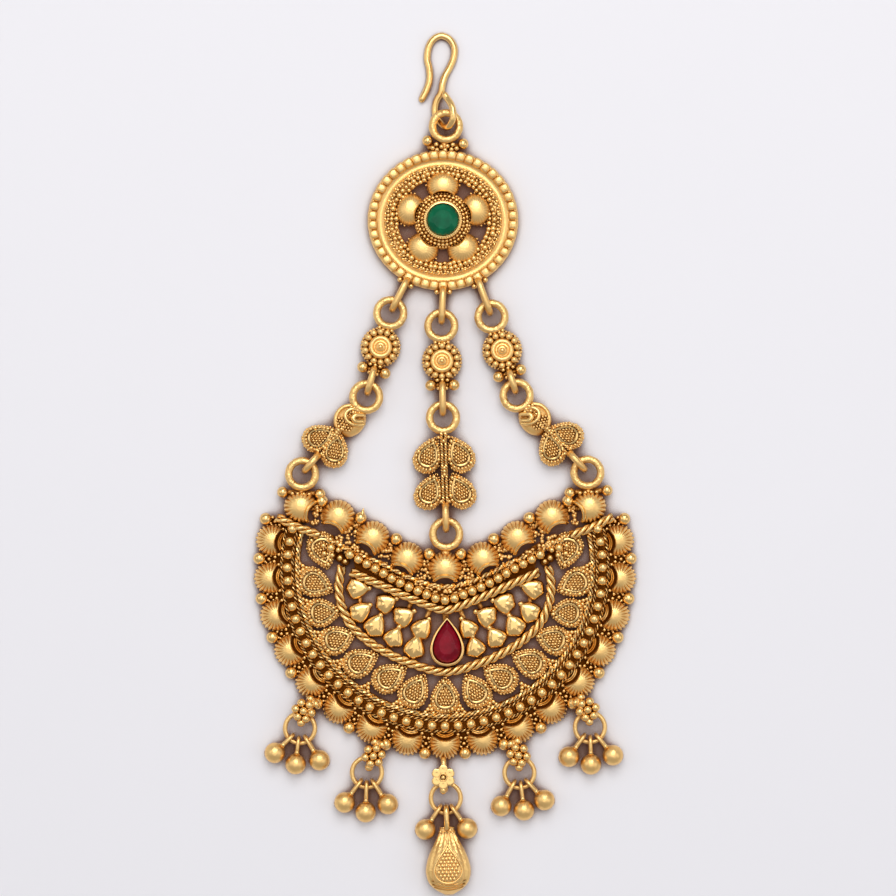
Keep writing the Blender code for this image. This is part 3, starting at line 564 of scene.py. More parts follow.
def aim(angle):
    """Unit vector in the plane, turned from straight down towards +X."""
    return np.array((math.sin(angle), -math.cos(angle)))


def side_of(direction):
    """The direction a quarter turn to the left."""
    return np.array((-direction[1], direction[0]))


def turn_of(direction):
    """The angle whose aim is the direction."""
    return math.atan2(direction[0], -direction[1])


def at(point, height):
    """A flat point lifted to a height."""
    return np.array((point[0], point[1], height))


def unit(vector):
    return vector / np.linalg.norm(vector)


def both_halves(points):
    """The right half of a curve, from its middle out, with its mirror image."""
    return np.array([(-x, y) for x, y in reversed(points[1:])] + [tuple(p) for p in points])


def smooth(points, steps):
    """Catmull-Rom curve through the points."""
    points = np.asarray(points, float)
    ends = np.vstack((points[0] * 2 - points[1], points, points[-1] * 2 - points[-2]))
    curve = []
    for before, start, end, after in zip(ends, ends[1:], ends[2:], ends[3:]):
        for t in np.arange(steps) / steps:
            curve.append(0.5 * (2 * start + (end - before) * t
                                + (2 * before - 5 * start + 4 * end - after) * t ** 2
                                + (3 * start - before - 3 * end + after) * t ** 3))
    return np.array(curve + [points[-1]])


def nearest(path, point):
    """The point of a path that lies nearest."""
    path = np.asarray(path)
    return path[np.argmin(np.linalg.norm(path - point, axis=1))]


def spaced(path, step):
    """Points along a path at even steps, and the direction at each."""
    path = np.asarray(path, float)
    runs = np.linalg.norm(np.diff(path, axis=0), axis=1)
    reach = np.concatenate(((0,), np.cumsum(runs)))
    count = max(int(round(reach[-1] / step)), 1)
    stops = (np.arange(count) + 0.5) * reach[-1] / count
    points = np.array([np.interp(stops, reach, path[:, axis]) for axis in range(path.shape[1])]).T
    ahead = np.array([np.interp(stops + 0.05 * step, reach, path[:, axis])
                      for axis in range(path.shape[1])]).T - points
    return points, ahead / np.linalg.norm(ahead, axis=1, keepdims=True)


def full_turn(count):
    """Even angles round a full turn."""
    return 2 * math.pi * np.arange(count) / count


def circle(centre, radius, count, start=0.0):
    """Points round a circle, the first straight down."""
    turns = start + full_turn(count)
    return np.asarray(centre) + np.stack((np.sin(turns), -np.cos(turns)), axis=1) * radius


def arc(radius, first, last, step):
    """Points on a circle about the plate's middle, a step apart."""
    count = max(int(abs(last - first) * radius / step), 2)
    return np.array([aim(turn) * radius for turn in np.linspace(first, last, count + 1)])


def drop_outline(centre, direction, run, width, count):
    """Teardrop outline with its point at the back of the direction."""
    across = side_of(direction)
    turns = full_turn(count)
    spread = np.sin(turns) * np.sin(turns / 2) / 0.77
    return (np.asarray(centre) - np.outer(np.cos(turns), direction) * run / 2
            + np.outer(spread, across) * width / 2)


def leaf_outline(run, width, count):
    """Full, blunt leaf with its narrow end facing up."""
    turns = full_turn(count)
    spread = np.sin(turns) * np.abs(np.sin(turns / 2)) ** 0.85
    return np.stack((spread / spread.max() * width / 2, np.cos(turns) * run / 2), axis=1)


def level_with(points, height):
    """Flat points lifted to a height, one for all or one for each."""
    points = np.asarray(points, float)
    heights = np.broadcast_to(np.asarray(height, float), (len(points),))
    return np.column_stack((points, heights))


# Skins: rings of points that a closed surface runs through

def wire(path, radius, sides, closed=False, rounded=False):
    """Rings of a round wire along a path; radius may be one for each point."""
    path = np.asarray(path, float)
    radii = np.broadcast_to(np.asarray(radius, float), (len(path),))
    ahead = np.roll(path, -1, axis=0) - np.roll(path, 1, axis=0)
    if not closed:
        ahead[0], ahead[-1] = path[1] - path[0], path[-1] - path[-2]
        if rounded:
            first, last = unit(ahead[0]) * radii[0], unit(ahead[-1]) * radii[-1]
            path = np.vstack((path[0] - first, path[0] - first * 0.7, path,
                              path[-1] + last * 0.7, path[-1] + last))
            ahead = np.vstack((first, first, ahead, last, last))
            radii = np.concatenate(((radii[0] * 0.15, radii[0] * 0.72), radii,
                                    (radii[-1] * 0.72, radii[-1] * 0.15)))
    ahead = ahead / np.linalg.norm(ahead, axis=1, keepdims=True)
    side = np.cross(ahead[0], UP if abs(ahead[0][2]) < 0.9 else np.array((1.0, 0.0, 0.0)))
    turns = 2 * math.pi * (np.arange(sides) + 0.5) / sides
    rings = []
    for point, direction, reach in zip(path, ahead, radii):
        side = unit(side - direction * side.dot(direction))
        lift = np.cross(direction, side)
        rings.append(point + (np.outer(np.cos(turns), side) + np.outer(np.sin(turns), lift)) * reach)
    return np.array(rings)


def flat_ring(centre, height, radius, thickness, steps, sides, dents=0.0):
    """Rings of a wire ring lying flat; dents makes it uneven, as if hammered."""
    path = level_with(circle(centre, radius, steps), height)
    uneven = 1 + dents * np.sin(np.arange(steps) * 2.4) * np.cos(np.arange(steps) * 5.3)
    return wire(path, thickness / 2 * uneven, sides, closed=True)


def upright_loop(start, end, height, half_height, thickness):
    """Rings of a long wire loop standing on edge, its middle line from start to end."""
    start, end = np.asarray(start), np.asarray(end)
    along = unit(end - start)
    middle = (start + end) / 2
    half = np.linalg.norm(end - start) / 2
    straight = max(half - half_height, 0)
    turns = 2 * math.pi * (np.arange(LOOP_STEPS) + 0.5) / LOOP_STEPS
    reach = np.cos(turns) * (half - straight) + np.copysign(straight, np.cos(turns))
    path = level_with(middle + np.outer(reach, along), height + half_height * np.sin(turns))
    return wire(path, thickness / 2, 10, closed=True)


def dome(outline, centre, levels):
    """Rings of a raised form: each level is a share of the outline and a height."""
    outline = np.asarray(outline, float)
    centre = np.asarray(centre, float)
    return np.array([level_with(centre + (outline - centre) * part, height) for part, height in levels])


def ball_rings(centre, radius, around, rows):
    """Rings of a ball; centre has three numbers."""
    rings = []
    for latitude in np.linspace(-0.5, 0.5, rows + 2)[1:-1] * math.pi:
        rings.append(level_with(circle(centre[:2], radius * math.cos(latitude), around),
                                centre[2] + radius * math.sin(latitude)))
    return np.array(rings)


def fan_swell(far):
    """Height of a fan at a share of its radius, as a share of its height."""
    return 0.1 + 0.9 * (1 - far ** 2.3) ** 0.62


def fan_rings(radius, height, ribs, rib_depth, start, bite, lip, foot, around):
    """Rings of a ribbed fan whose round edge faces straight down and whose lip faces up.
    The ribs start at a share of the radius from the middle. bite is the radius of the
    hollow inside the lip and lip the lip's distance from the middle, both as shares of
    the fan's radius; foot is how far its wall goes down."""
    turns = full_turn(around)
    inward = np.abs(turns - math.pi)
    away = lip + bite
    inside = bite ** 2 - (away * np.sin(inward)) ** 2
    bitten = (inside > 0) & (np.cos(inward) > 0)
    reach = np.where(bitten, away * np.cos(inward) - np.sqrt(np.maximum(inside, 0)), 1.0)
    reach = np.minimum(reach, 1.0)
    cut = np.clip((1.0 - reach) / 0.1, 0, 1)
    lobe = np.abs(np.cos(ribs / 2 * turns)) ** 0.7
    reach = reach * (1 - 0.07 * (1 - cut) * (1 - lobe))
    aim_all = np.stack((np.sin(turns), -np.cos(turns)), axis=1)
    rings = [level_with(aim_all * (reach * radius)[:, None], -foot)]
    for part in (1.0, 0.98, 0.93, 0.85, 0.75, 0.62, 0.48, 0.3, 0.12):
        far = reach * part
        swell = fan_swell(np.minimum(far, 1.0))
        groove = (1 - cut) * (1 - lobe) * np.clip((far - start) / 0.3, 0, 1) * rib_depth
        edge = cut * 0.2 * math.exp(-((part - 0.92) / 0.08) ** 2)
        rings.append(level_with(aim_all * (far * radius)[:, None],
                                height * (swell + edge) - groove))
    return np.array(rings)


def nugget_rings(run, width, height, foot):
    """Rings of a polished bud, its narrow end facing up and its wide end fluted."""
    shaped = leaf_outline(run, width, 72)
    angle = np.arctan2(shaped[:, 0], run / 2 - shaped[:, 1] + 0.01)
    flutes = (1 - np.cos(angle * 11.5)) / 2
    wide = np.clip((0.3 * run - shaped[:, 1]) / (0.5 * run), 0, 1)
    shaped = shaped * (1 - 0.08 * flutes * wide)[:, None]
    rings = [level_with(shaped * 0.94, -foot), level_with(shaped, 0.2 * height)]
    for part, rise in ((0.97, 0.45), (0.88, 0.7), (0.74, 0.87), (0.55, 0.96), (0.34, 1.0), (0.14, 1.0)):
        groove = 0.1 * height * flutes * wide * part
        rings.append(level_with(shaped * part, rise * height - groove))
    return np.array(rings)


# Geometry Nodes trees for what repeats or follows a path

def new_tree(name, *inputs):
    """A tree with named inputs; returns it and the values of its inputs by name."""
    tree = bpy.data.node_groups.new(name, "GeometryNodeTree")
    tree.interface.new_socket("Geometry", in_out="OUTPUT", socket_type="NodeSocketGeometry")
    tree.interface.new_socket("Geometry", in_out="INPUT", socket_type="NodeSocketGeometry")
    for label, kind, default in (*inputs, ("Material", "Material", None)):
        socket = tree.interface.new_socket(label, in_out="INPUT", socket_type="NodeSocket" + kind)
        if default is not None:
            socket.default_value = default
    entry = tree.nodes.new("NodeGroupInput")
    return tree, {socket.name: Value(tree, socket) for socket in entry.outputs if socket.name}


def end_tree(tree, geometry, material):
    """Makes the geometry real, smooth and dressed."""
    real = add_node(tree, "GeometryNodeRealizeInstances", {}, {"Geometry": geometry})
    rounded = add_node(tree, "GeometryNodeSetShadeSmooth", {}, {0: real})
    dressed = add_node(tree, "GeometryNodeSetMaterial", {}, {"Geometry": rounded, "Material": material})
    leaving = tree.nodes.new("NodeGroupOutput")
    tree.links.new(dressed.socket, leaving.inputs[0])
    return tree


def named(tree, name, kind):
    """The value that each point carries under a name."""
    return add_node(tree, "GeometryNodeInputNamedAttribute", {"data_type": kind}, {"Name": name})


def bead_tree():
    """A small ball on every point, as large as the point's size says."""
    tree, given = new_tree("beads_on_points", ("Radius", "Float", 0.0006), ("Detail", "Int", 2))
    bead = add_node(tree, "GeometryNodeMeshIcoSphere", {},
                    {"Radius": given["Radius"], "Subdivisions": given["Detail"]})
    spread = add_node(tree, "GeometryNodeInstanceOnPoints", {},
                      {"Points": given["Geometry"], "Instance": bead,
                       "Scale": named(tree, "size", "FLOAT_VECTOR")})
    return end_tree(tree, spread, given["Material"])


def copies_tree():
    """A pattern on every point, turned about the vertical and stretched."""
    tree, given = new_tree("copies_on_points", ("Pattern", "Object", None))
    pattern = add_node(tree, "GeometryNodeObjectInfo", {}, {"Object": given["Pattern"]})
    turning = add_node(tree, "ShaderNodeCombineXYZ", {}, {"Z": named(tree, "turn", "FLOAT")})
    rotation = add_node(tree, "FunctionNodeEulerToRotation", {}, {0: turning})
    spread = add_node(tree, "GeometryNodeInstanceOnPoints", {},
                      {"Points": given["Geometry"], "Instance": pattern.output("Geometry"),
                       "Rotation": rotation, "Scale": named(tree, "size", "FLOAT_VECTOR")})
    return end_tree(tree, spread, given["Material"])


def rope_tree():
    """Strands laid round each line of the base mesh."""
    tree, given = new_tree(
        "twisted_rope", ("Strands", "Int", 2), ("Lay radius", "Float", 0.0003),
        ("Strand radius", "Float", 0.0003), ("Twist", "Float", 2000.0),
        ("Step", "Float", 0.0003), ("Sides", "Int", 6))
    line = add_node(tree, "GeometryNodeMeshToCurve", {}, {"Mesh": given["Geometry"]})
    even = add_node(tree, "GeometryNodeResampleCurve", {"mode": "LENGTH"},
                    {"Curve": line, "Length": given["Step"]})
    strands = add_node(tree, "GeometryNodeDuplicateElements", {"domain": "SPLINE"},
                       {"Geometry": even, "Amount": given["Strands"]})
    run = add_node(tree, "GeometryNodeSplineParameter").output("Length")
    own = strands.output("Duplicate Index") * (2 * math.pi) / given["Strands"]
    angle = run * given["Twist"] + own
    tangent = add_node(tree, "GeometryNodeInputTangent")
    across = tangent.vectors("CROSS_PRODUCT", (0, 0, 1)).along(angle.cosine() * given["Lay radius"])
    lift = add_node(tree, "ShaderNodeCombineXYZ", {}, {"Z": angle.sine() * given["Lay radius"]})
    laid = add_node(tree, "GeometryNodeSetPosition", {},
                    {"Geometry": strands, "Offset": across.vectors("ADD", lift)})
    profile = add_node(tree, "GeometryNodeCurvePrimitiveCircle", {},
                       {"Resolution": given["Sides"], "Radius": given["Strand radius"]})
    skin = add_node(tree, "GeometryNodeCurveToMesh", {},
                    {"Curve": laid, "Profile Curve": profile, "Fill Caps": True})
    return end_tree(tree, skin, given["Material"])


def grow(tree, base, finish, **inputs):
    """The plain mesh that a tree makes of a base mesh; an underscore stands for a space."""
    holder = new_object("grown", base)
    modifier = holder.modifiers.new("grow", "NODES")
    modifier.node_group = tree
    values = {name.replace("_", " "): value for name, value in inputs.items()}
    values["Material"] = finish_of[finish]
    for socket in tree.interface.items_tree:
        if socket.in_out == "INPUT" and socket.name in values:
            modifier[socket.identifier] = values[socket.name]
    made = bpy.data.meshes.new_from_object(holder.evaluated_get(bpy.context.evaluated_depsgraph_get()))
    holder.modifiers.remove(modifier)
    bpy.data.objects.remove(holder)
    return made


def new_object(name, data):
    """An object in the scene, at the origin."""
    made = bpy.data.objects.new(name, data)
    bpy.context.scene.collection.objects.link(made)
    return made


def base_mesh(points, lines=(), **attributes):
    """Points and lines in millimetres, with a value of each attribute for every point."""
    mesh = bpy.data.meshes.new("base")
    mesh.from_pydata((np.asarray(points, float) * MM).tolist(), list(lines), [])
    for name, values in attributes.items():
        values = np.asarray(values, np.float32)
        kind, key = ("FLOAT", "value") if values.ndim == 1 else ("FLOAT_VECTOR", "vector")
        mesh.attributes.new(name, kind, "POINT").data.foreach_set(key, values.ravel())
    return mesh


# One piece, gathered from its parts

class Casting:
    """A piece of the object in one or more finishes. Parts are given in millimetres."""

    def __init__(self, name):
        self.name = name
        self.parts = []
        self.finishes = []
        self.count = 0

    def take(self, places, corners, sides, finish):
        """Adds points, the corners of all faces and how many corners each face has."""
        if finish not in self.finishes:
            self.finishes.append(finish)
        slots = np.full(len(sides), self.finishes.index(finish))
        self.parts.append((places, np.asarray(corners, np.int64) + self.count, sides, slots))
        self.count += len(places)

    def skin(self, rings, finish, closed=False):
        """A closed surface through rings of points; closed joins the last ring to the first."""
        rows, around = rings.shape[:2]
        index = np.arange(rows * around).reshape(rows, around)
        low, high = (index, np.roll(index, -1, axis=0)) if closed else (index[:-1], index[1:])
        faces = np.stack((low, np.roll(low, -1, axis=1), np.roll(high, -1, axis=1), high), axis=-1)
        corners, sides = faces.reshape(-1), np.full(faces.shape[0] * around, 4)
        if not closed:
            corners = np.concatenate((corners, index[0][::-1], index[-1]))
            sides = np.concatenate((sides, (around, around)))
        self.take(rings.reshape(-1, 3), corners, sides, finish)

    def bar(self, points, height, radius, sides=8, rounded=True):
        """A dark bar that lies level along flat points."""
        self.skin(wire(level_with(points, height), radius, sides, rounded=rounded), "aged")

    def hoop(self, path, radius, sides):
        """A polished wire along a closed path."""
        self.skin(wire(path, radius, sides, closed=True), "polished", closed=True)

    def block(self, outline, low, high, finish):
        """A flat slab with upright walls."""
        self.skin(np.array((level_with(outline, low), level_with(outline, high))), finish)

    def mesh_part(self, mesh, finish):
        """Takes a mesh in metres and deletes it."""
        places = np.empty(len(mesh.vertices) * 3)
        corners = np.empty(len(mesh.loops), np.int32)
        sides = np.empty(len(mesh.polygons), np.int32)
        mesh.vertices.foreach_get("co", places)
        mesh.loops.foreach_get("vertex_index", corners)
        mesh.polygons.foreach_get("loop_total", sides)
        self.take(places.reshape(-1, 3) / MM, corners, sides, finish)
        bpy.data.meshes.remove(mesh)

    def beads(self, centres, radius, finish="polished", detail=2, sizes=None):
        """Small balls; sizes holds a share of the radius for each, or three of them."""
        centres = np.asarray(centres, float).reshape(-1, 3)
        sizes = np.ones(len(centres)) if sizes is None else np.asarray(sizes, float)
        if sizes.ndim == 1:
            sizes = np.repeat(sizes[:, None], 3, axis=1)
        base = base_mesh(centres, size=sizes)
        self.mesh_part(grow(trees["beads"], base, finish, Radius=radius * MM, Detail=detail), finish)

    def thick_rope(self, path, radius):
        """Three stout strands laid round a dark core."""
        # The dark core shows between the strands as patina and painted shade, through its ground finish
        self.skin(wire(path, 0.5 * radius, 8), "ground")
        self.rope(path, radius, 5.6 * radius, "polished", 3, sides=10, lay=0.57)

    def rope(self, path, radius, pitch, finish, strands=2, closed=False, sides=6, lay=0.46):
        """Twisted strands along a path; pitch is the run of one whole turn."""
        path = np.asarray(path, float)
        lines = [(i, i + 1) for i in range(len(path) - 1)]
        run = np.linalg.norm(np.diff(path, axis=0), axis=1).sum()
        if closed:
            lines.append((len(path) - 1, 0))
            run += np.linalg.norm(path[0] - path[-1])
            pitch = run / max(round(run / pitch), 1)
        self.mesh_part(grow(
            trees["rope"], base_mesh(path, lines), finish, Strands=strands,
            Lay_radius=radius * lay * MM, Strand_radius=radius * (1 - lay) * MM,
            Twist=2 * math.pi / (pitch * MM), Step=pitch / strands / 5 * MM, Sides=sides), finish)

    def copies(self, pattern, places, turns, finish, sizes=None):
        """Copies of another casting's shape at places, turned and stretched."""
        sizes = np.ones((len(places), 3)) if sizes is None else np.asarray(sizes, float)
        shape = new_object("pattern", pattern.mesh(shift=0.0))
        base = base_mesh(places, turn=np.asarray(turns, float), size=sizes)
        self.mesh_part(grow(trees["copies"], base, finish, Pattern=shape), finish)
        bpy.data.objects.remove(shape)

    def mesh(self, shift):
        """The gathered parts as one mesh in metres, its faces pointing outwards."""
        places, corners, sides, slots = (np.concatenate(part) for part in zip(*self.parts))
        places = (places + (0.0, shift, 0.0)) * MM
        mesh = bpy.data.meshes.new(self.name)
        mesh.vertices.add(len(places))
        mesh.vertices.foreach_set("co", places.ravel())
        mesh.loops.add(len(corners))
        mesh.loops.foreach_set("vertex_index", corners.astype(np.int32))
        mesh.polygons.add(len(sides))
        mesh.polygons.foreach_set("loop_start", (np.cumsum(sides) - sides).astype(np.int32))
        mesh.polygons.foreach_set("material_index", slots.astype(np.int32))
        mesh.update(calc_edges=True)
        shape = bmesh.new()
        shape.from_mesh(mesh)
        bmesh.ops.recalc_face_normals(shape, faces=shape.faces)
        shape.to_mesh(mesh)
        shape.free()
        for finish in self.finishes:
            mesh.materials.append(finish_of[finish])
        return mesh

    def make(self, *nodes, slot="gold", sharp=50 * DEG):
        """The finished piece, standing for its CAD nodes."""
        mesh = self.mesh(PLATE_SHIFT)
        mesh.shade_smooth()
        mesh.set_sharp_from_angle(angle=sharp)
        piece = new_object(self.name, mesh)
        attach(piece, "root")
        if nodes:
            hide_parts(*nodes)
        return piece


trees = {}


# Measures that several pieces share, in millimetres

class Measures:
    """Sizes worked out from the user's."""

    def __init__(self, scene):
        self.plate = in_millimetres(scene.jhoomar_plate)
        self.medallion = in_millimetres(scene.jhoomar_medallion)
        self.fine = in_millimetres(scene.jhoomar_fine)
        plate, medallion, fine = self.plate, self.medallion, self.fine
        self.loop_half = fine.ring_wire / 2 + RING_GAP + fine.loop_wire / 2
        self.ring_level = self.loop_half + fine.loop_wire / 2
        self.ring_mid = fine.ring_radius - fine.ring_wire / 2
        self.drop_mid = fine.drop_ring - fine.drop_wire / 2
        self.drop_level = fine.drop_wire / 2 + RING_GAP + BAIL_WIRE
        self.horn = aim(plate.horn_angle) * plate.horn_radius
        self.middle = np.array(MEDALLION_MIDDLE)
        aside, rise = TOP_RING_OFFSET
        self.top_ring = self.middle + (aside, medallion.half_height + rise)

    def edge_height(self, across):
        """The plate's upper edge: low in the middle, rising to the horns."""
        rise = (1 - math.cos(math.pi * across / self.horn[0])) / 2
        return self.horn[1] - self.plate.edge_depth * (1 - rise)

    def edge_point(self, part):
        return np.array((part * self.horn[0], self.edge_height(part * self.horn[0])))

    def edge_inward(self, part):
        """Unit vector from the upper edge into the plate."""
        return -side_of(unit(self.edge_point(part + 0.01) - self.edge_point(part - 0.01)))

    def on_plate(self, across, up):
        """A point of the plate from its shares of the radius."""
        return np.array((across, up)) * self.plate.radius

    def from_edge(self, part, depth):
        """A point at a depth inside the upper edge."""
        return self.edge_point(part) + self.edge_inward(part) * depth

    def plate_curve(self, half, steps):
        """A smooth curve across the plate, from its right half in shares of the radius."""
        return smooth(both_halves(half), steps) * self.plate.radius

    def rim_reach(self, direction):
        """From the medallion's middle to its rim."""
        across, up = direction[0] / self.medallion.half_width, direction[1] / self.medallion.half_height
        return 1 / math.hypot(across, up)

    def round_medallion(self, part, height, count):
        """A closed path round the medallion at a share of its rim."""
        turns = full_turn(count)
        flat = [self.middle + aim(turn) * self.rim_reach(aim(turn)) * part for turn in turns]
        return level_with(flat, height)

    def chain_wrap(self, ring, along):
        """Where a loop that comes along wraps the near wire of a chain's ring."""
        fine = self.fine
        return ring - along * (self.ring_mid - fine.ring_wire / 2 - RING_GAP - fine.loop_wire / 2)

    def drop_wrap(self, ring, along, gap, thickness):
        """Where a bail that comes along wraps the near wire of a hanging ring."""
        return ring - along * (self.drop_mid - self.fine.drop_wire / 2 - gap - thickness / 2)

    def group(self, pendant):
        """Cluster middle and ring middle of a hanging group."""
        cluster = aim(pendant.angle * DEG) * pendant.out
        return cluster, cluster + aim(pendant.swing * DEG) * self.fine.drop_ring * pendant.fall


# Parts that several pieces use

def chain_ring(casting, centre, measures):
    """Slightly hammered ring of a chain."""
    fine = measures.fine
    casting.skin(flat_ring(centre, measures.ring_level, measures.ring_mid, fine.ring_wire,
                           48, 14, dents=0.05), "hammered", closed=True)


def chain_loop(casting, start, ring, measures):
    """Upright loop that takes hold of the next ring."""
    along = unit(ring - start)
    loop = upright_loop(start, measures.chain_wrap(ring, along), measures.ring_level,
                        measures.loop_half, measures.fine.loop_wire)
    casting.skin(loop, "satin", closed=True)


def set_out(origin, along, height, places):
    """Level points at distances aside and ahead of an origin."""
    return [at(origin + side_of(along) * aside + along * ahead, height) for aside, ahead in places]


def granules_in(outline, spacing):
    """Points of a honeycomb inside an outline."""
    low, high = outline.min(axis=0), outline.max(axis=0)
    points = []
    row = 0
    y = low[1]
    while y <= high[1]:
        start = low[0] + (row % 2) * spacing / 2
        points += [(x, y) for x in np.arange(start, high[0] + spacing, spacing)]
        y += spacing * 0.866
        row += 1
    points = np.array(points)
    inside = np.zeros(len(points), bool)
    for a, b in zip(outline, np.roll(outline, -1, axis=0)):
        crosses = (a[1] > points[:, 1]) != (b[1] > points[:, 1])
        rise = b[1] - a[1] if b[1] != a[1] else 1e-9
        inside ^= crosses & (points[:, 0] < (b[0] - a[0]) * (points[:, 1] - a[1]) / rise + a[0])
    return points[inside]


def leaf_patterns(measures, height):
    """A leaf, its round end facing down: the ribbed border, the dark field sunk in it,
    and the wire and granules on both."""
    granule = measures.fine.granule
    outline = leaf_outline(LEAF_LENGTH, measures.plate.leaf_width, 104)
    ribs = np.cos(2 * math.pi * np.arange(104) / 4) * 0.045 * height
    border = Casting("leaf_border")
    rings = dome(outline, (0, 0), (
        (0.94, 0.0), (0.99, 0.4 * height), (0.96, 0.62 * height), (0.88, 0.78 * height),
        (0.78, 0.83 * height), (0.68, 0.8 * height), (0.6, 0.64 * height)))
    rings[1:6, :, 2] += ribs
    border.skin(rings, "satin")
    field = Casting("leaf_field")
    field.skin(dome(outline, (0, 0), ((0.62, 0.5 * height), (0.61, 0.72 * height), (0.3, 0.74 * height))),
               "aged")
    trim = Casting("leaf_trim")
    scatter = np.random.default_rng(3)
    for part, rise, grain in ((0.95, 0.6, 0.19), (0.79, 0.81, 0.27)):
        edge, _ = spaced(np.vstack((outline, outline[:1])) * part, 2.1 * grain)
        edge = edge + scatter.uniform(-0.05, 0.05, edge.shape)
        trim.beads(level_with(edge, rise * height), grain, "polished",
                   sizes=scatter.uniform(0.7, 1.2, len(edge)))
    trim.hoop(level_with(outline[::3] * 0.61, 0.84 * height), 0.14, 6)
    grains = granules_in(outline * 0.56, granule * 2.05)
    grains = grains + scatter.uniform(-0.25, 0.25, grains.shape) * granule
    trim.beads(level_with(grains, 0.76 * height), granule, "polished",
               sizes=scatter.uniform(0.75, 1.15, len(grains)))
    return (border, "satin"), (field, "aged"), (trim, "polished")


def leaves(casting, measures, places, height):
    """Granulated leaves at their places: middle, direction, length, width and base height."""
    usual = measures.plate.leaf_width
    middles = [at(middle, base) for middle, _, _, _, base in places]
    turns = [turn_of(direction) for _, direction, _, _, _ in places]
    sizes = [(width / usual, run / LEAF_LENGTH, 1.0) for _, _, run, width, _ in places]
    for pattern, finish in leaf_patterns(measures, height):
        casting.copies(pattern, middles, turns, finish, sizes)


# Hook

def make_hook(measures):
    """The bent wire, its route smoothed and laid on the table."""
    route = np.array(HOOK_ROUTE)
    route[:, :2] += measures.top_ring
    casting = Casting("hook_wire")
    path = smooth(route, 6)
    path[:, 2] = np.maximum(path[:, 2], measures.fine.hook_wire / 2)
    casting.skin(wire(path, measures.fine.hook_wire / 2, 14, rounded=True), "polished")
    casting.make("top_hook")


# Hanging groups

def make_drop_ring(measures, number, pendant):
    """Wire ring that hangs from a bail."""
    _, ring = measures.group(pendant)
    casting = Casting(f"hanging_ring_{number}")
    casting.skin(flat_ring(ring, measures.drop_level, measures.drop_mid, measures.fine.drop_wire,
                           56, 12, dents=0.02), "satin", closed=True)
    casting.make(f"drop_ring_{number}")


def make_ball(measures, number, pendant, i):
    """Hollow ball with its collar, its bail and the dark seam at its foot."""
    _, ring = measures.group(pendant)
    swing, distance = pendant.balls[i]
    radius = measures.fine.ball_radius
    direction = aim(swing * DEG)
    centre = ring + direction * distance * measures.fine.drop_ring
    casting = Casting(f"hanging_ball_{number}_{i + 1}")
    casting.skin(ball_rings(at(centre, radius), radius, 40, 21), "satin")
    neck = centre - direction * (radius - 0.25)
    inner = measures.drop_wrap(ring, -direction, BALL_GAP, BALL_WIRE)
    half = measures.fine.drop_wire / 2 + BALL_GAP + BALL_WIRE / 2
    casting.skin(upright_loop(inner, neck, measures.drop_level, half, BALL_WIRE), "satin", closed=True)
    casting.beads([at(centre - direction * (radius + 0.25), measures.drop_level + half)], 0.36)
    collar = np.linspace(0, 2 * math.pi, 20, endpoint=False)
    across = side_of(direction)
    seat = centre - direction * (radius - 0.08)
    path = level_with(seat + np.outer(np.cos(collar), across) * 0.42, radius + 0.42 * np.sin(collar))
    casting.hoop(path, 0.15, 8)
    if abs(swing) > 20:
        lean = math.copysign(38 * DEG, swing)
        seam = [aim(swing * DEG + lean + turn) for turn in np.linspace(-0.3, 0.3, 12)]
        path = level_with(centre + np.array(seam) * (radius - 0.02), 0.82 * radius)
        casting.skin(wire(path, 0.075, 6), "seam")
    casting.make(f"ball_{number}_{i + 1}")


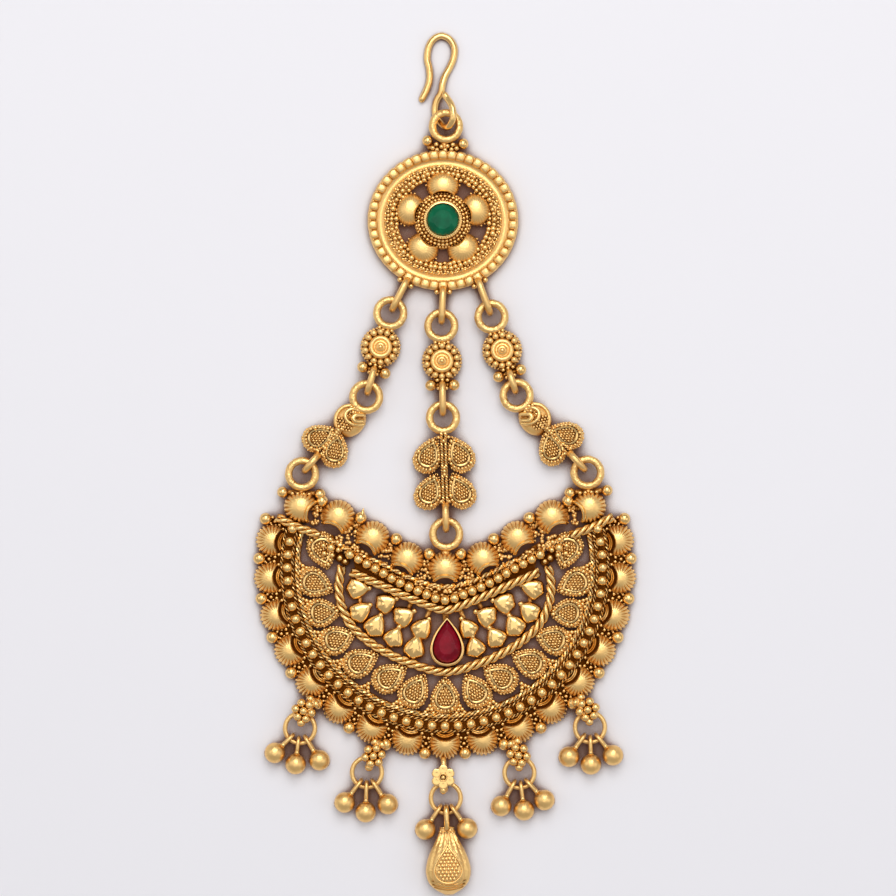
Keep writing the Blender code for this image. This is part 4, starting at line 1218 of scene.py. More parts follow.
def make_pear(measures, pendant):
    """Pear with a fluted neck, a rimmed panel of scales and cut curves at its foot."""
    fine = measures.fine
    _, ring = measures.group(pendant)
    direction = aim(2 * DEG)
    across = side_of(direction)
    top = ring + direction * 1.68 * fine.drop_ring
    shape = smooth([(a, b, 0) for a, b in PEAR_SECTIONS], 5)[:, :2]
    turns = full_turn(96)

    def belly(place):
        """Half width at a place along the pear, in half its width."""
        return float(np.interp(place, shape[:, 0], shape[:, 1]))

    def level(part):
        """Height of the pear's middle line where it is so wide."""
        return measures.drop_level + (fine.pear_depth / 2 - measures.drop_level) * min(part, 1)

    def round_ring(place, part, reach, angles):
        """Points round the pear at a place; reach is how far out each lies."""
        middle = top + direction * place * fine.pear_length
        flat = middle + np.outer(np.cos(angles) * reach, across) * fine.pear_width / 2
        return level_with(flat, level(part) + np.sin(angles) * reach * fine.pear_depth / 2)

    def panel(middle, half_length, half_width):
        """Teardrop on the front: places along the pear and aside."""
        return np.array([(middle - half_length * math.cos(t), half_width * math.sin(t) * math.sin(t / 2))
                         for t in full_turn(48)])

    def on_front(place, aside, rise=0.0):
        """A point of the front, aside from -1 to 1, a little above the skin."""
        part = belly(place)
        height = level(part) + part * fine.pear_depth / 2 * math.sqrt(max(1 - aside ** 2, 0)) + rise
        middle = top + direction * place * fine.pear_length
        return at(middle + across * aside * part * fine.pear_width / 2, height)

    casting = Casting("pear_body")
    rings = []
    for place, part in shape:
        flute = 0.2 * math.exp(-((place - 0.14) / 0.13) ** 2) * (0.5 - 0.5 * np.cos(turns * 14))
        side = 0.1 * np.exp(-((np.abs(np.cos(turns)) - 0.72 - 0.1 * place) / 0.07) ** 2)
        reach = part * (1 - flute - side * math.exp(-((place - 0.55) / 0.3) ** 4))
        rings.append(round_ring(place, part, reach, turns))
    casting.skin(np.array(rings), "hammered")
    casting.hoop([on_front(*spot, 0.02) for spot in panel(0.53, 0.28, 0.8)], 0.15, 8)
    inner = panel(0.54, 0.24, 0.66)[:, ::-1] * (fine.pear_width / 2, fine.pear_length)
    field = granules_in(inner, 0.58)
    scales = [on_front(y / fine.pear_length, x / fine.pear_width * 2, -0.05) for x, y in field]
    casting.beads(scales, 0.29, "polished", sizes=[(1.0, 1.2, 0.75)] * len(scales))
    for step, bow in ((0.845, 0.04), (0.885, 0.035), (0.92, 0.03)):
        curve = np.array([on_front(step - bow * aside ** 2 * 2, aside, -0.01)
                          for aside in np.linspace(-0.86, 0.86, 26)])
        casting.skin(wire(curve, 0.13, 6), "polished")
    for place in (0.01, 0.07):
        part = belly(place) * 1.05
        casting.rope(round_ring(place, part, part, turns[::2]), 0.16, 0.6, "polished", closed=True)
    inner_end = measures.drop_wrap(ring, -direction, PEAR_GAP, PEAR_WIRE)
    half = fine.drop_wire / 2 + PEAR_GAP + 0.42
    casting.skin(upright_loop(inner_end, top + direction * 0.6, measures.drop_level, half, PEAR_WIRE),
                 "polished", closed=True)
    casting.make("pear_drop")


# Strings of links

def make_rosette_link(measures, side):
    """Ring, rosette of beads, two side beads and the loop through the next ring."""
    fine = measures.fine
    ring, following = np.array(STRINGS[side][1]), np.array(STRINGS[side][2])
    along = unit(following - ring)
    disc = ring + along * (fine.ring_radius + fine.rosette_radius - 0.1 * fine.ring_wire)
    beads = disc + along * (fine.rosette_radius + 0.82)
    aside = side_of(along) * (fine.rosette_radius - 1.07)
    casting = Casting(f"rosette_link_{side}")
    chain_ring(casting, ring, measures)
    casting.skin(dome(circle(disc, fine.rosette_radius, 40), disc, (
        (0.85, 0.85), (0.95, 1.3), (0.9, 1.85), (0.3, 1.95))), "satin")
    casting.skin(dome(circle(disc, 1.85, 40), disc, (
        (0.9, 1.7), (1.0, 2.0), (0.96, 2.3), (0.82, 2.52), (0.68, 2.56), (0.6, 2.45),
        (0.53, 2.3), (0.44, 2.32), (0.38, 2.5), (0.3, 2.62), (0.12, 2.66))), "satin")
    casting.beads([at(disc, 2.62)], 0.4, detail=3)
    casting.beads(level_with(circle(disc, 2.28, 14), 2.05), 0.53, "satin", 3)
    casting.beads(level_with(circle(disc, 2.78, 34), 1.5), 0.27, "satin")
    neck = ring + along * (fine.ring_radius - 0.2)
    start = beads - along * 0.27
    for spot, width in ((neck, 1.5), (disc + along * fine.rosette_radius, 1.6)):
        half = side_of(along) * width / 2
        casting.bar((spot - half, spot + half), 1.55, 0.5)
    casting.bar((beads - aside, beads + aside), 1.6, 0.45)
    casting.beads(level_with((beads - aside, beads + aside), measures.ring_level), 0.85, detail=3)
    small = set_out(neck, along, 2.05, ((-0.95, 0.1), (0.95, 0.1), (-0.35, 0.3), (0.4, 0.25)))
    small += set_out(beads, along, 2.2, (
        (-0.75, -0.75), (0.75, -0.75), (-0.6, 0.45), (0.6, 0.45), (0.0, -0.8)))
    casting.beads(small, 0.3)
    chain_loop(casting, start, following, measures)
    casting.make(f"{side}_rosette_link")


def make_leaf_link(measures, side):
    """Ring, granulated leaves on a stem, two pairs on the middle link and one pair with a folded
    leaf on a side link, and the loop through the plate's ring.
    """
    fine = measures.fine
    ring, following = np.array(STRINGS[side][2]), np.array(STRINGS[side][3])
    span = following - ring
    along = unit(span)
    across = side_of(along)
    start = ring + span * 0.75
    neck = ring + along * (fine.ring_radius - 0.35)
    casting = Casting(f"leaf_link_{side}")
    chain_ring(casting, ring, measures)
    casting.bar((neck, start), 1.45, 0.55, 10)
    turn = turn_of(along)
    places = []
    for place, apart, spread, size in SPRIGS[side]:
        for half in (-1, 1):
            centre = ring + span * place - across * half * apart * 3.7
            places.append((centre, aim(turn - half * spread * DEG), 5.5 * size, 3.95 * size, 0.75))
    leaves(casting, measures, places, 2.0)
    if side != "middle":
        folded_leaf(casting, ring + span * 0.285, along, 1 if side == "left" else -1)
    for half in (-1, 1):
        stem = np.array([neck + across * half * 0.3, ring + span * 0.45 + across * half * 0.28,
                         start + across * half * 0.3])
        casting.rope(level_with(smooth(stem, 5), 2.25), 0.27, 0.8, "polished")
    small = [at(ring + span * place + across * x, height) for place, x, height in (
        (0.17, -0.75, 2.1), (0.17, 0.75, 2.1), (0.46, 0.0, 2.65), (0.43, 0.0, 2.65), (0.49, 0.0, 2.6),
        (0.72, -0.6, 2.2), (0.72, 0.6, 2.2), (0.755, -0.25, 2.3), (0.755, 0.3, 2.3), (0.2, 0.0, 2.45))]
    casting.beads(small, 0.32)
    chain_loop(casting, start, following, measures)
    casting.make(f"{side}_leaf_link")


def folded_leaf(casting, centre, along, hand):
    """A leaf bent over on itself: smooth on one side of a curled edge, granulated on the
    other. hand is 1 where the smooth side lies to the left of the way down."""
    across = side_of(along) * hand

    def spot(ahead, aside, height):
        """A point at distances ahead and aside of the leaf's middle."""
        return at(centre + along * ahead + across * aside, height)

    outline = np.array([centre + along * 2.65 * math.cos(turn) + across * (0.35 + 2.3 * math.sin(turn))
                        for turn in full_turn(48)])
    casting.skin(dome(outline, centre + across * 0.5, (
        (0.9, 0.5), (1.0, 1.0), (0.97, 1.6), (0.85, 2.0), (0.6, 2.25), (0.3, 2.38),
        (0.08, 2.4))), "aged")
    for route, radius, finish in FOLDS:
        path = smooth([spot(*place) for place in route], 5)
        casting.skin(wire(path, radius, 8, rounded=True), finish)
    grains = granules_in(np.array(((0.3, -1.1), (1.3, -1.1), (2.0, 0.1), (1.8, 1.2), (0.8, 1.7))), 0.46)
    casting.beads([spot(ahead, aside, 2.55 - 0.1 * (ahead ** 2 + (aside - 0.4) ** 2))
                   for ahead, aside in grains], 0.21, "polished")


# Medallion

def make_medallion(measures):
    """The casting's channel, band, granules and rim blocks, its hub, crown and loops."""
    sizes = measures.medallion
    top = sizes.rim_height
    middle = measures.middle
    casting = Casting("medallion_casting")
    channel = ((0.765, 0.2), (0.985, 0.0), (1.0, 0.3), (0.985, 0.55), (0.94, 0.72), (0.885, 0.7),
               (0.865, 0.62), (0.83, 0.56), (0.8, 0.58), (0.775, 0.66), (0.765, 0.68))
    band = ((0.597, 0.0), (0.78, 0.0), (0.78, 0.66), (0.7, 0.7), (0.62, 0.65), (0.597, 0.56))
    for profile, count in ((channel, 144), (band, 96)):
        rings = [measures.round_medallion(part, height * top, count) for part, height in profile]
        casting.skin(np.array(rings), "satin", closed=True)
    casting.rope(measures.round_medallion(0.765, 0.74 * top, 120), 0.22, 0.8, "polished", closed=True)
    scatter = np.random.default_rng(5)
    for part, radius, height in ((0.735, 0.3, 0.72), (0.68, 0.44, 0.74), (0.622, 0.4, 0.68)):
        path = measures.round_medallion(part, height * top, 240)
        grains, _ = spaced(np.vstack((path, path[:1])), 1.75 * radius)
        grains = grains + scatter.uniform(-0.1, 0.1, grains.shape)
        casting.beads(grains, radius, "polished", sizes=scatter.uniform(0.8, 1.12, len(grains)))
    pillow = Casting("rim_block")
    turns = full_turn(20)
    soft = np.stack((np.sign(np.sin(turns)) * np.abs(np.sin(turns)) ** 0.5 * 0.76,
                     np.sign(np.cos(turns)) * np.abs(np.cos(turns)) ** 0.7 * 0.76), axis=1)
    rows = [level_with(soft * math.cos(latitude) ** 0.6, 0.66 * math.sin(latitude))
            for latitude in np.linspace(-0.5, 0.5, 11)[1:-1] * math.pi]
    pillow.skin(np.array(rows), "polished")
    blocks = measures.round_medallion(0.932, 0.74 * top, sizes.blocks)
    turns = [turn_of(place[:2] - middle) for place in blocks]
    casting.copies(pillow, blocks, turns, "satin")
    dimples = measures.round_medallion(0.965, 0.78 * top, sizes.blocks)
    dimples += (np.roll(dimples, -1, axis=0) - dimples) / 2
    casting.beads(dimples, 0.24)
    make_hub(casting, measures)
    make_crown(casting, measures)
    for string in STRINGS.values():
        direction = unit(np.array(string[0]) - middle)
        start = middle + direction * measures.rim_reach(direction) * 0.97
        chain_loop(casting, start, np.array(string[1]), measures)
        foot = start + direction * 0.55
        pair = [foot + side_of(direction) * x for x in (-0.95, 0.95)]
        casting.beads(level_with(pair, 1.9), 0.42)
    casting.make("medallion")


def make_hub(casting, measures):
    """Granulated hub with its milled bezel, and five ribbed petals round it."""
    sizes = measures.medallion
    middle = measures.middle
    casting.block(circle(middle, sizes.hub_radius * 1.06, 48), 0.15, 1.35, "aged")
    casting.block(circle(middle, sizes.hub_radius * 0.95, 48), 0.9, 1.7, "satin")
    for radius, grain, height in ((4.02, 0.24, 1.45), (3.66, 0.32, 1.75), (3.12, 0.3, 2.0)):
        count = int(2 * math.pi * radius / (1.9 * grain))
        casting.beads(level_with(circle(middle, radius, count), height), grain)
    inner, outer = sizes.green_radius + 0.08, sizes.green_radius + 0.56
    wall = [level_with(circle(middle, radius, 48), height) for radius, height in (
        (outer, 0.4), (outer, 3.0), (outer - 0.08, 3.25), (outer - 0.2, 3.36), (inner + 0.08, 3.38),
        (inner, 3.28), (inner, 0.4))]
    casting.skin(np.array(wall), "polished", closed=True)
    casting.beads(level_with(circle(middle, outer - 0.13, 50), 3.22), 0.17)
    petal = Casting("petal")
    petal.skin(fan_rings(sizes.petal_radius, 1.6, 24, 0.2, 0.5, 1.0, 0.42, 1.0, 168), "satin")
    places, turns, edges = [], [], []
    for i in range(5):
        direction = aim(math.pi + 2 * math.pi * i / 5)
        places.append(at(middle + direction * PETAL_REACH, 1.15))
        turns.append(turn_of(direction))
        for spot in np.linspace(-1.55, 1.55, 13):
            rim = aim(turn_of(direction) + spot) * sizes.petal_radius
            across = side_of(direction)
            squeezed = direction * rim.dot(direction) * PETAL_SQUEEZE + across * rim.dot(across)
            edges.append(at(middle + direction * PETAL_REACH + squeezed, 1.3))
    casting.copies(petal, places, turns, "satin", [(1.0, PETAL_SQUEEZE, 1.0)] * 5)
    casting.beads(edges, 0.2)


def make_crown(casting, measures):
    """The top ring on its seat, with side beads and granules."""
    fine = measures.fine
    ring = measures.top_ring
    crown = measures.middle + (0, measures.medallion.half_height)
    chain_ring(casting, ring, measures)
    seat = (crown + ring - (0, fine.ring_radius)) / 2
    casting.bar((seat - (2.0, 0), seat + (2.0, 0)), 1.1, 0.6, 10)
    casting.bar((seat - (0, 0.6), seat + (0, 0.8)), 1.3, 0.75, 10)
    casting.beads(CROWN_BEADS, 0.83, detail=3)
    grains = [seat + (x, y) for x, y in (
        (-1.75, -0.2), (-1.2, 0.35), (-1.1, -0.45), (-0.45, 0.0), (0.1, -0.5), (0.45, 0.1),
        (1.05, -0.4), (1.25, 0.3), (1.8, -0.25))]
    casting.beads(level_with(grains, 1.95), 0.38)
    grains, _ = spaced(level_with(circle(ring, measures.ring_mid + 0.1, 40), 2.32), 0.75)
    casting.beads(grains, 0.17, "satin")


# Stones

def make_stone(name, node, outline, middle, height, slot):
    """Cut stone with a pointed back, a girdle, two rows of facets and a table."""
    outline = np.asarray(outline)
    between = (outline + np.roll(outline, -1, axis=0)) / 2
    seat = height - 1.3
    casting = Casting(name)
    rings = [level_with(middle + (outline - middle) * 0.5, seat),
             level_with(outline, height - 0.5), level_with(outline, height - 0.32),
             level_with(middle + (between - middle) * 0.84, height - 0.02),
             level_with(middle + (outline - middle) * 0.6, height + 0.3)]
    places = np.vstack(rings)
    around = len(outline)
    corners, sides = [], []
    for row in range(2):
        for i in range(around):
            j = (i + 1) % around
            corners += [row * around + i, row * around + j, (row + 1) * around + j, (row + 1) * around + i]
            sides.append(4)
    for i in range(around):
        j = (i + 1) % around
        girdle, star, table = 2 * around, 3 * around, 4 * around
        corners += [girdle + i, girdle + j, star + i, girdle + j, star + j, star + i]
        corners += [star + i, star + j, table + j, star + i, table + j, table + i]
        sides += [3, 3, 3, 3]
    corners += list(range(around))[::-1] + [4 * around + i for i in range(around)]
    sides += [around, around]
    casting.take(places, corners, sides, slot.replace("_stone", ""))
    casting.make(node, slot=slot, sharp=2 * DEG)


def red_outline(measures, margin, count):
    """Middle and outline of the red stone, with a margin round it."""
    middle = measures.on_plate(*RED_MIDDLE)
    return middle, drop_outline(middle, aim(0), RED_LENGTH + 2 * margin, RED_WIDTH + 2 * margin, count)


# Crescent plate

def plate_fans(measures):
    """Middle and inward direction of the border's fans, then of the upper edge's."""
    plate = measures.plate
    border = []
    for k in range(-8, 9):
        border.append((aim(k * plate.fan_step) * plate.radius, -aim(k * plate.fan_step)))
    edge = []
    for side in (-1, 1):
        horn = aim(side * plate.horn_angle)
        edge.append((horn * plate.horn_radius, -horn))
    for part in EDGE_FANS:
        for side in (-1, 1) if part else (1,):
            edge.append((measures.edge_point(side * part), measures.edge_inward(side * part)))
    return border, edge


def edge_beads(measures):
    """Middles of the beads between the border's fans, then between the edge's."""
    plate = measures.plate
    beads = []
    for k in range(9):
        for side in (-1, 1):
            beads.append(aim(side * (k + 0.5) * plate.fan_step) * (plate.radius + 1.65))
    for part, out in EDGE_BEADS:
        for side in (-1, 1):
            spot = side * part
            inward = measures.edge_inward(spot)
            beads.append(measures.edge_point(spot) - inward * plate.fan_radius * out)
    return beads


def make_ground(measures):
    """The cast ground: border band, upper field, webs, settings, ring seats and bails."""
    plate, fine = measures.plate, measures.fine
    top = plate.thickness
    casting = Casting("crescent_ground")
    outer, inner = plate.radius + 0.45 * plate.fan_radius, plate.radius - BORDER_WIDTH
    profile = ((inner, 0.05), (outer, 0.05), (outer, 0.7), (outer - 1.2, 0.7), (outer - 2.7, 0.65),
               (outer - 3.1, 1.3), (inner + 0.6, 1.25), (inner, 1.0))
    turns = np.linspace(-BAND_END, BAND_END, 180)
    casting.skin(np.array([[at(aim(turn) * radius, height) for radius, height in profile]
                           for turn in turns]), "ground")
    upper = [measures.from_edge(part, 1.02 * plate.fan_radius) for part in np.linspace(-0.6, 0.6, 48)]
    under = both_halves(UPPER_FIELD) * plate.radius * (0.92, 1.0)
    casting.block(np.vstack((upper, under[::-1])), 0.05, 1.06 * top, "ground")
    under_edge = [measures.edge_point(part) for part in np.linspace(-1, 1, 60)]
    casting.bar(under_edge, 0.6, 0.5, rounded=False)
    casting.rope(level_with(under_edge, 0.95), 0.42, 1.2, "aged", strands=3)
    boat = measures.plate_curve(BOAT_ROPE, 6)
    rope = measures.plate_curve(UPPER_ROPE, 6)
    for column in NUGGETS:
        for side in (-1, 1):
            first, second = [measures.on_plate(side * x, y) for x, y, _ in column]
            web = (nearest(rope, first), first, second, nearest(boat, second))
            casting.bar(web, 0.5, 0.4, rounded=False)
    red_middle, _ = red_outline(measures, 0, 8)
    casting.bar((nearest(rope, red_middle), nearest(boat, red_middle)), 0.55, 0.5, rounded=False)
    wall = [level_with(red_outline(measures, margin, 64)[1], height) for margin, height in RED_BEZEL]
    casting.skin(np.array(wall), "polished", closed=True)
    casting.block(red_outline(measures, 0.3, 40)[1], 0.25, 0.8, "aged")
    feet = {"left": -1, "middle": 0, "right": 1}
    for side, part in feet.items():
        ring, foot = np.array(STRINGS[side][3]), measures.edge_point(part)
        along = unit(foot - ring)
        chain_ring(casting, ring, measures)
        casting.bar((ring + along * (fine.ring_radius - 0.1), foot), 1.3, 0.75, 10)
        if side != "middle":
            middle = ring + along * (fine.ring_radius + 0.28)
            aside = side_of(along) * (fine.ring_radius + 0.2)
            ends = (middle - aside, middle + aside)
            casting.bar(ends, 1.0, 0.45)
            casting.beads(level_with(ends, 1.35), 0.85, detail=3)
            grains = set_out(middle, along, 2.0, ((-1.3, 0.1), (-0.5, 0.1), (0.4, 0.1), (1.2, 0.1)))
            casting.beads(grains, 0.3)
    for pendant in PENDANTS:
        make_bail(casting, measures, pendant)
    casting.make("crescent_plate")


def make_bail(casting, measures, pendant):
    """Bead cluster on the bail that holds a hanging ring."""
    cluster, ring = measures.group(pendant)
    outward = aim(pendant.angle * DEG)
    start = outward * (measures.plate.radius + (2.2 if pendant is MIDDLE_PENDANT else 1.5))
    direction = unit(ring - start)
    end = measures.drop_wrap(ring, direction, RING_GAP, BAIL_WIRE)
    half = measures.fine.drop_wire / 2 + RING_GAP + BAIL_WIRE / 2
    casting.skin(upright_loop(start, end, measures.drop_level, half, BAIL_WIRE), "satin", closed=True)
    if pendant is MIDDLE_PENDANT:
        base = 2.5
        casting.skin(dome(circle(cluster, 1.3, 24), cluster, ((1, base - 0.2), (0.9, base + 0.2))),
                     "aged")
        for petal in circle(cluster, 1.12, 6):
            outline = circle(petal, 0.76, 20)
            casting.skin(dome(outline, petal, (
                (0.9, base - 0.1), (1.0, base + 0.2), (0.92, base + 0.45), (0.6, base + 0.52),
                (0.25, base + 0.46))), "polished")
        casting.skin(flat_ring(cluster, base + 0.55, 0.55, 0.22, 24, 8), "polished", closed=True)
        casting.beads([at(cluster, base + 0.5)], 0.36, detail=3)
        casting.beads([at(cluster + aim(0) * 1.95, base)], 0.56, "polished", 3,
                      sizes=[(0.9, 1.15, 0.9)])
        return
    base = 2.3
    casting.skin(dome(circle(cluster, 1.4, 24), cluster, ((1, base - 0.1), (0.9, base + 0.2))), "aged")
    around = circle(cluster, 1.22, 6, pendant.angle * DEG)
    casting.beads(level_with(around, base + 0.25), 0.66, detail=3)
    casting.beads([at(cluster, base + 0.45)], 0.64, detail=3)
    casting.beads([at(cluster + aim(pendant.swing * DEG) * 1.85, base - 0.1)], 0.62, detail=3)
    casting.beads([at(cluster - outward * 1.95 + side_of(outward) * x, base - 0.3)
                   for x in (-0.5, 0.6)], 0.62, "polished", 3)


def fan_fringe(plate):
    """Beads round a border fan's edge and two wires along it."""
    fringe = Casting("fan_fringe")
    teeth = np.array([aim(turn) for turn in np.arange(-7, 8) * 2 * math.pi / 23]) * plate.fan_radius
    fringe.beads(level_with(teeth * 0.99, 0.1), 0.2)
    swing = aim(0) * 1.24 * plate.fan_radius
    for line in (0.36, 0.62):
        curve = [aim(turn) * (plate.fan_radius - line) - swing for turn in np.linspace(-0.7, 0.7, 14)]
        fringe.skin(wire(level_with(curve, 0.1), 0.1, 6), "polished")
    return fringe


def fan_lip(reach, rise):
    """The rolled lip of an upper edge fan."""
    turns = np.linspace(-0.84, 0.84, 19)
    curve = np.stack((np.sin(turns) * 0.85, 1.27 - np.cos(turns) * 0.85), axis=1)
    far = np.minimum(np.linalg.norm(curve, axis=1), 1.0)
    heights = rise * fan_swell(far) - 0.12
    lip = Casting("fan_lip")
    lip.skin(wire(level_with(curve * reach, heights), 0.34, 9, rounded=True), "polished")
    return lip


def make_fans(measures):
    """The border's fans with their fringes, then the larger ones of the upper edge."""
    plate = measures.plate
    border, edge = plate_fans(measures)
    small, large = Casting("fan"), Casting("edge_fan")
    reach, rise = plate.fan_radius * EDGE_FAN_WIDTH, plate.fan_height * EDGE_FAN_HEIGHT
    small.skin(fan_rings(plate.fan_radius, plate.fan_height, 22, 0.3, 0.42, 1.0, 0.17, 0.95, 176),
               "satin")
    large.skin(fan_rings(reach, rise, 20, 0.5, 0.55, 0.85, 0.42, 0.95, 160), "satin")
    casting = Casting("crescent_fans")
    for places, pattern, finish in (
            (border, small, "satin"), (border, fan_fringe(plate), "polished"),
            (edge, large, "satin"), (edge, fan_lip(reach, rise), "polished")):
        spots = [at(place, plate.thickness) for place, _ in places]
        turns = [turn_of(-inward) for _, inward in places]
        casting.copies(pattern, spots, turns, finish)
    casting.make("crescent_plate")


def make_ropes(measures):
    """Twisted ropes and rows of beads on the plate."""
    plate = measures.plate
    casting = Casting("crescent_ropes")
    casting.thick_rope(level_with(measures.plate_curve(BOAT_ROPE, 8), 1.15), plate.rope)
    casting.thick_rope(level_with(measures.plate_curve(UPPER_ROPE, 8), 1.5), plate.rope)
    casting.rope(level_with(measures.plate_curve(EDGE_ROPE, 8), 1.35), 0.46, 2.0, "polished", sides=7)
    for side in (-1, 1):
        short = [measures.on_plate(side * x, y) for x, y in HORN_ROPE]
        casting.thick_rope(level_with(smooth(short, 6), 1.85), plate.rope * 0.95)
    for reach, height, radius, pitch, finish, strands, lay in BORDER_ROPES:
        path = level_with(arc(reach, -ROPE_END, ROPE_END, 0.6), height)
        casting.rope(path, radius, pitch, finish, strands, lay=lay)
    row = np.array([aim(turn) * 23.6 for turn in np.arange(-22, 23) * 4.75 * DEG])
    casting.beads(level_with(row, 1.95), plate.row_bead, detail=3)
    upper_row, _ = spaced(measures.plate_curve(BEAD_ROW, 8), 1.46)
    casting.beads(level_with(upper_row, 1.9), plate.row_bead, detail=3)
    casting.beads(level_with(edge_beads(measures), 1.3), plate.edge_bead, detail=3)
    grains = []
    for k in range(-9, 9):
        middle = (k + 0.5) * plate.fan_step
        for reach, turn, height in BORDER_GRAINS:
            grains.append(at(aim(middle + turn) * reach, height))
    casting.beads(grains, 0.28)
    for x, y, size in ROPE_END_BEADS:
        for side in (-1, 1):
            spot = measures.on_plate(side * x, y)
            casting.beads([(*spot, 1.6)], 0.5 * size)
            casting.skin(ball_rings((*spot, 0.9), 0.75, 12, 5), "ground")
    spike = at(measures.edge_point(-0.62) - measures.edge_inward(-0.62) * 1.9, 1.5)
    casting.skin(wire(np.array([spike, spike + (0.1, 0.5, 0.0), spike + (0.2, 1.1, 0.0)]),
                      (0.55, 0.3, 0.06), 10), "polished")
    scatter = np.random.default_rng(7)
    field = []
    for part in np.linspace(-0.7, 0.7, 330):
        depth = scatter.uniform(1.05, 1.8) * plate.fan_radius
        field.append(at(measures.from_edge(part, depth), 1.25))
    for part, _ in EDGE_BEADS:
        for _ in range(26):
            spot = part + scatter.uniform(-0.045, 0.045)
            depth = scatter.uniform(-0.35, 1.1) * plate.fan_radius
            for side in (-1, 1):
                field.append(at(measures.from_edge(side * spot, depth), scatter.uniform(0.9, 1.35)))
    casting.beads(field, 0.3, "satin", sizes=scatter.uniform(0.7, 1.25, len(field)))
    casting.make("crescent_plate")


def make_leaves(measures):
    """Granulated leaves round the boat, with small heaps of grains between them."""
    plate = measures.plate
    boat = measures.plate_curve(BOAT_ROPE, 4)
    inner = plate.radius - BORDER_WIDTH + 0.35
    places = []
    for x, y, turn in LEAVES:
        for side in (-1, 1) if x else (1,):
            centre = measures.on_plate(side * x, y)
            direction = aim(side * turn * DEG)
            along = centre.dot(direction)
            ahead = math.sqrt(along ** 2 + inner ** 2 - centre.dot(centre)) - along
            end = centre + direction * min(ahead, 2.95)
            tip = nearest(boat, centre - (end - centre))
            run = min(np.linalg.norm(end - tip) - 0.3, 5.9)
            # The leaf at the horn keeps its own direction, as the boat ends short of it.
            pointing = direction if y > 0 else unit(end - tip)
            places.append((end - pointing * run / 2, pointing, run, plate.leaf_width, 0.1))
    casting = Casting("crescent_leaves")
    leaves(casting, measures, places, plate.leaf_height)
    wedge = ((0.0, 0.55), (-0.6, 0.35), (0.6, 0.35), (-0.28, -0.1), (0.3, -0.12), (0.0, -0.65))
    for (x, y, _), (next_x, next_y, _) in zip(LEAVES, LEAVES[1:]):
        for side in (-1, 1):
            outward = unit(np.array((side * (x + next_x), y + next_y)))
            casting.skin(ball_rings(at(outward * 21.6, 0.55), 0.7, 12, 5), "aged")
            grains = [at(outward * (21.4 + out) + side_of(outward) * aside, 1.2) for aside, out in wedge]
            casting.beads(grains, 0.36)
    casting.make("crescent_plate")


def make_nuggets(measures):
    """Polished nuggets in columns of two, each with a bead at its tip."""
    plate = measures.plate
    pattern = Casting("nugget")
    pattern.skin(nugget_rings(plate.nugget_length, NUGGET_WIDTH, plate.nugget_height - NUGGET_BASE, 0.15),
                 "polished")
    places, turns, sizes = [], [], []
    scatter = np.random.default_rng(11)
    for column in NUGGETS:
        for x, y, turn in column:
            for side in (-1, 1):
                places.append(at(measures.on_plate(side * x, y), NUGGET_BASE))
                turns.append(side * turn * DEG + scatter.uniform(-0.2, 0.2))
                sizes.append((scatter.uniform(0.9, 1.06), scatter.uniform(0.92, 1.08), 1.0))
    casting = Casting("crescent_nuggets")
    casting.copies(pattern, places, turns, "polished", sizes)
    tips = [at(np.asarray(place[:2]) - aim(turn) * plate.nugget_length * 0.42, 1.2)
            for place, turn in zip(places, turns)]
    casting.beads(tips, 0.42, detail=3)
    casting.make("crescent_plate")


# Stage

def make_stage():
    """Pale floor, soft studio light and the camera over it."""
    mesh = bpy.data.meshes.new("floor")
    corners = [(x * FLOOR_HALF, y * FLOOR_HALF, 0) for x, y in ((-1, -1), (1, -1), (1, 1), (-1, 1))]
    mesh.from_pydata(corners, [], [(0, 1, 2, 3)])
    mesh.materials.append(finish_of["floor"])
    floor = new_object("floor", mesh)
    lamps = (
        ("softbox", (0.03, 0.32, 0.52), 0.4, 1.7), ("overhead", (0.0, 0.05, 0.95), 0.7, 1.3),
        ("left_fill", (-0.5, 0.1, 0.42), 0.4, 0.4), ("right_fill", (0.5, -0.05, 0.42), 0.4, 0.4),
    )
    for name, place, size, power in lamps:
        light = bpy.data.lights.new(name, "AREA")
        light.size = size
        light.energy = power
        lamp = new_object(name, light)
        lamp.location = place
        lamp.rotation_mode = "QUATERNION"
        lamp.rotation_quaternion = (-Vector(place)).to_track_quat("-Z", "Y")
    world = bpy.data.worlds.new("studio")
    world.use_nodes = True
    background = world.node_tree.nodes["Background"]
    background.inputs["Color"].default_value = DAYLIGHT
    background.inputs["Strength"].default_value = 0.48
    bpy.context.scene.world = world
    bpy.context.scene.view_settings.view_transform = "Standard"
    lens = bpy.data.cameras.new("camera")
    lens.lens = FOCAL_LENGTH
    lens.sensor_width = SENSOR
    lens.clip_start = 0.01
    lens.clip_end = 20.0
    camera = new_object("camera", lens)
    camera.location = (CAMERA_PLACE[0] * MM, CAMERA_PLACE[1] * MM, CAMERA_HEIGHT)
    bpy.context.scene.camera = camera


# Operators, one for each piece or group of like pieces

class MakeFinishes(bpy.types.Operator):
    """The gold, stone and floor materials and the Geometry Nodes trees"""

    bl_idname = "jhoomar.finishes"
    bl_label = "Finishes"

    def execute(self, context):
        finish_of.update(make_materials(context.scene.jhoomar_finishes))
        trees.update(beads=bead_tree(), copies=copies_tree(), rope=rope_tree())
        return {"FINISHED"}


class MakeHook(bpy.types.Operator):
    """The bent wire hook with its eye"""

    bl_idname = "jhoomar.hook"
    bl_label = "Hook"

    def execute(self, context):
        make_hook(Measures(context.scene))
        return {"FINISHED"}


class MakeMedallion(bpy.types.Operator):
    """The round cast medallion with its rings and loops"""

    bl_idname = "jhoomar.medallion"
    bl_label = "Medallion"

    def execute(self, context):
        make_medallion(Measures(context.scene))
        return {"FINISHED"}


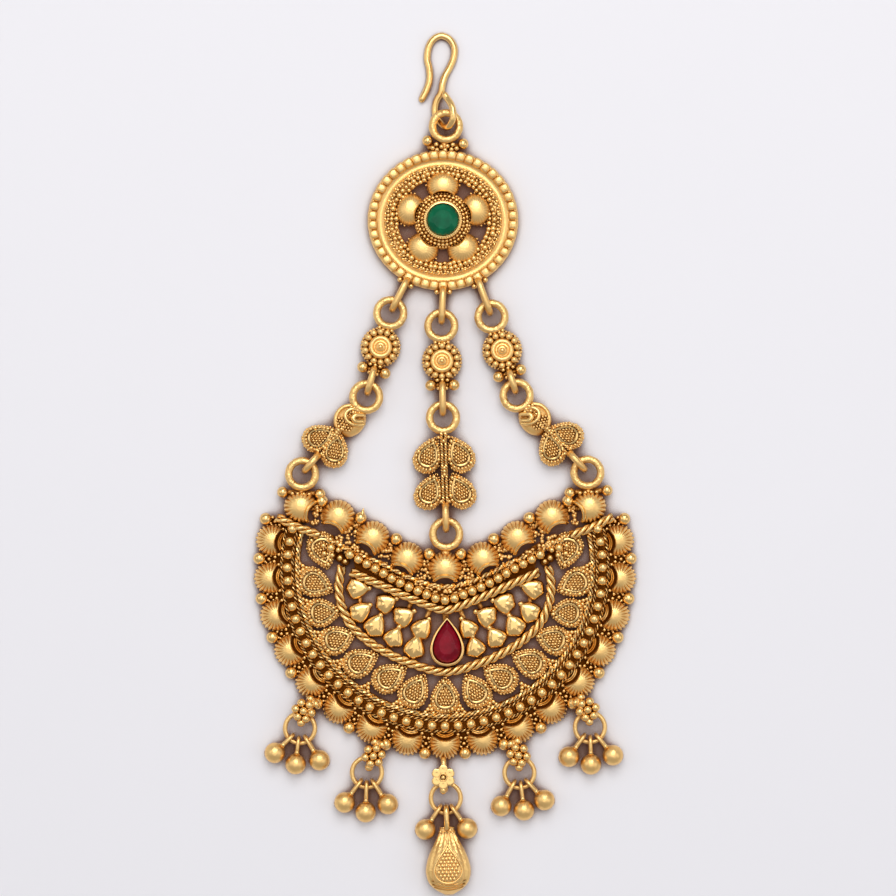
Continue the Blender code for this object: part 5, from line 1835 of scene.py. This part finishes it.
class MakeStones(bpy.types.Operator):
    """The round green stone and the red drop"""

    bl_idname = "jhoomar.stones"
    bl_label = "Stones"

    def execute(self, context):
        measures = Measures(context.scene)
        outline = circle(measures.middle, measures.medallion.green_radius, 16)
        make_stone("round_stone", "green_stone", outline, measures.middle, GREEN_LEVEL, "green_stone")
        middle, outline = red_outline(measures, 0, 20)
        make_stone("drop_stone", "red_stone", outline, middle, RED_LEVEL, "red_stone")
        return {"FINISHED"}


class MakeRosetteLinks(bpy.types.Operator):
    """The upper link of each string"""

    bl_idname = "jhoomar.rosette_links"
    bl_label = "Rosette links"

    def execute(self, context):
        measures = Measures(context.scene)
        for side in STRINGS:
            make_rosette_link(measures, side)
        return {"FINISHED"}


class MakeLeafLinks(bpy.types.Operator):
    """The lower link of each string"""

    bl_idname = "jhoomar.leaf_links"
    bl_label = "Leaf links"

    def execute(self, context):
        measures = Measures(context.scene)
        for side in STRINGS:
            make_leaf_link(measures, side)
        return {"FINISHED"}


class MakePlateGround(bpy.types.Operator):
    """The crescent's ground, settings, ring seats and bails"""

    bl_idname = "jhoomar.plate_ground"
    bl_label = "Plate ground"

    def execute(self, context):
        make_ground(Measures(context.scene))
        return {"FINISHED"}


class MakePlateFans(bpy.types.Operator):
    """The ribbed fans of the crescent's border"""

    bl_idname = "jhoomar.plate_fans"
    bl_label = "Plate fans"

    def execute(self, context):
        make_fans(Measures(context.scene))
        return {"FINISHED"}


class MakePlateRopes(bpy.types.Operator):
    """The crescent's twisted ropes and rows of beads"""

    bl_idname = "jhoomar.plate_ropes"
    bl_label = "Plate ropes and beads"

    def execute(self, context):
        make_ropes(Measures(context.scene))
        return {"FINISHED"}


class MakePlateLeaves(bpy.types.Operator):
    """The ring of granulated leaves"""

    bl_idname = "jhoomar.plate_leaves"
    bl_label = "Plate leaves"

    def execute(self, context):
        make_leaves(Measures(context.scene))
        return {"FINISHED"}


class MakePlateNuggets(bpy.types.Operator):
    """The polished nuggets round the red stone"""

    bl_idname = "jhoomar.plate_nuggets"
    bl_label = "Plate nuggets"

    def execute(self, context):
        make_nuggets(Measures(context.scene))
        return {"FINISHED"}


class MakeHangingRings(bpy.types.Operator):
    """The wire rings below the crescent"""

    bl_idname = "jhoomar.hanging_rings"
    bl_label = "Hanging rings"

    def execute(self, context):
        measures = Measures(context.scene)
        for number, pendant in enumerate(PENDANTS, start=1):
            make_drop_ring(measures, number, pendant)
        return {"FINISHED"}


class MakeHangingBalls(bpy.types.Operator):
    """The hollow balls on the hanging rings"""

    bl_idname = "jhoomar.hanging_balls"
    bl_label = "Hanging balls"

    def execute(self, context):
        measures = Measures(context.scene)
        for number, pendant in enumerate(PENDANTS, start=1):
            for i in range(len(pendant.balls)):
                make_ball(measures, number, pendant, i)
        return {"FINISHED"}


class MakePear(bpy.types.Operator):
    """The engraved pear on the middle ring"""

    bl_idname = "jhoomar.pear"
    bl_label = "Pear drop"

    def execute(self, context):
        make_pear(Measures(context.scene), MIDDLE_PENDANT)
        return {"FINISHED"}


class MakeStage(bpy.types.Operator):
    """The pale floor, the studio light and the camera"""

    bl_idname = "jhoomar.stage"
    bl_label = "Stage"

    def execute(self, context):
        make_stage()
        return {"FINISHED"}


OPERATORS = (
    MakeFinishes, MakeHook, MakeMedallion, MakeStones,
    MakeRosetteLinks, MakeLeafLinks, MakePlateGround, MakePlateFans,
    MakePlateRopes, MakePlateLeaves, MakePlateNuggets, MakeHangingRings,
    MakeHangingBalls, MakePear, MakeStage,
)


class JhoomarPanel(bpy.types.Panel):
    """Sizes, finishes and pieces of the jhoomar"""

    bl_idname = "VIEW3D_PT_jhoomar"
    bl_label = "Jhoomar"
    bl_space_type = "VIEW_3D"
    bl_region_type = "UI"
    bl_category = "Jhoomar"

    def draw(self, context):
        layout = self.layout
        for name in GROUPS:
            group = getattr(context.scene, name)
            box = layout.box()
            for prop in group.__annotations__:
                box.prop(group, prop)
        for operator in OPERATORS:
            layout.operator(operator.bl_idname)


GROUPS = {
    "jhoomar_plate": PlateSizes, "jhoomar_medallion": MedallionSizes,
    "jhoomar_fine": FineSizes, "jhoomar_finishes": Finishes,
}


def register():
    for kind in (*GROUPS.values(), *OPERATORS, JhoomarPanel):
        bpy.utils.register_class(kind)
    for name, kind in GROUPS.items():
        setattr(bpy.types.Scene, name, bpy.props.PointerProperty(type=kind))


def unregister():
    for name in GROUPS:
        delattr(bpy.types.Scene, name)
    for kind in (JhoomarPanel, *reversed(OPERATORS), *reversed(GROUPS.values())):
        bpy.utils.unregister_class(kind)


def main():
    register()
    for operator in OPERATORS:
        area, name = operator.bl_idname.split(".")
        getattr(getattr(bpy.ops, area), name)()


if __name__ == "__main__":
    main()
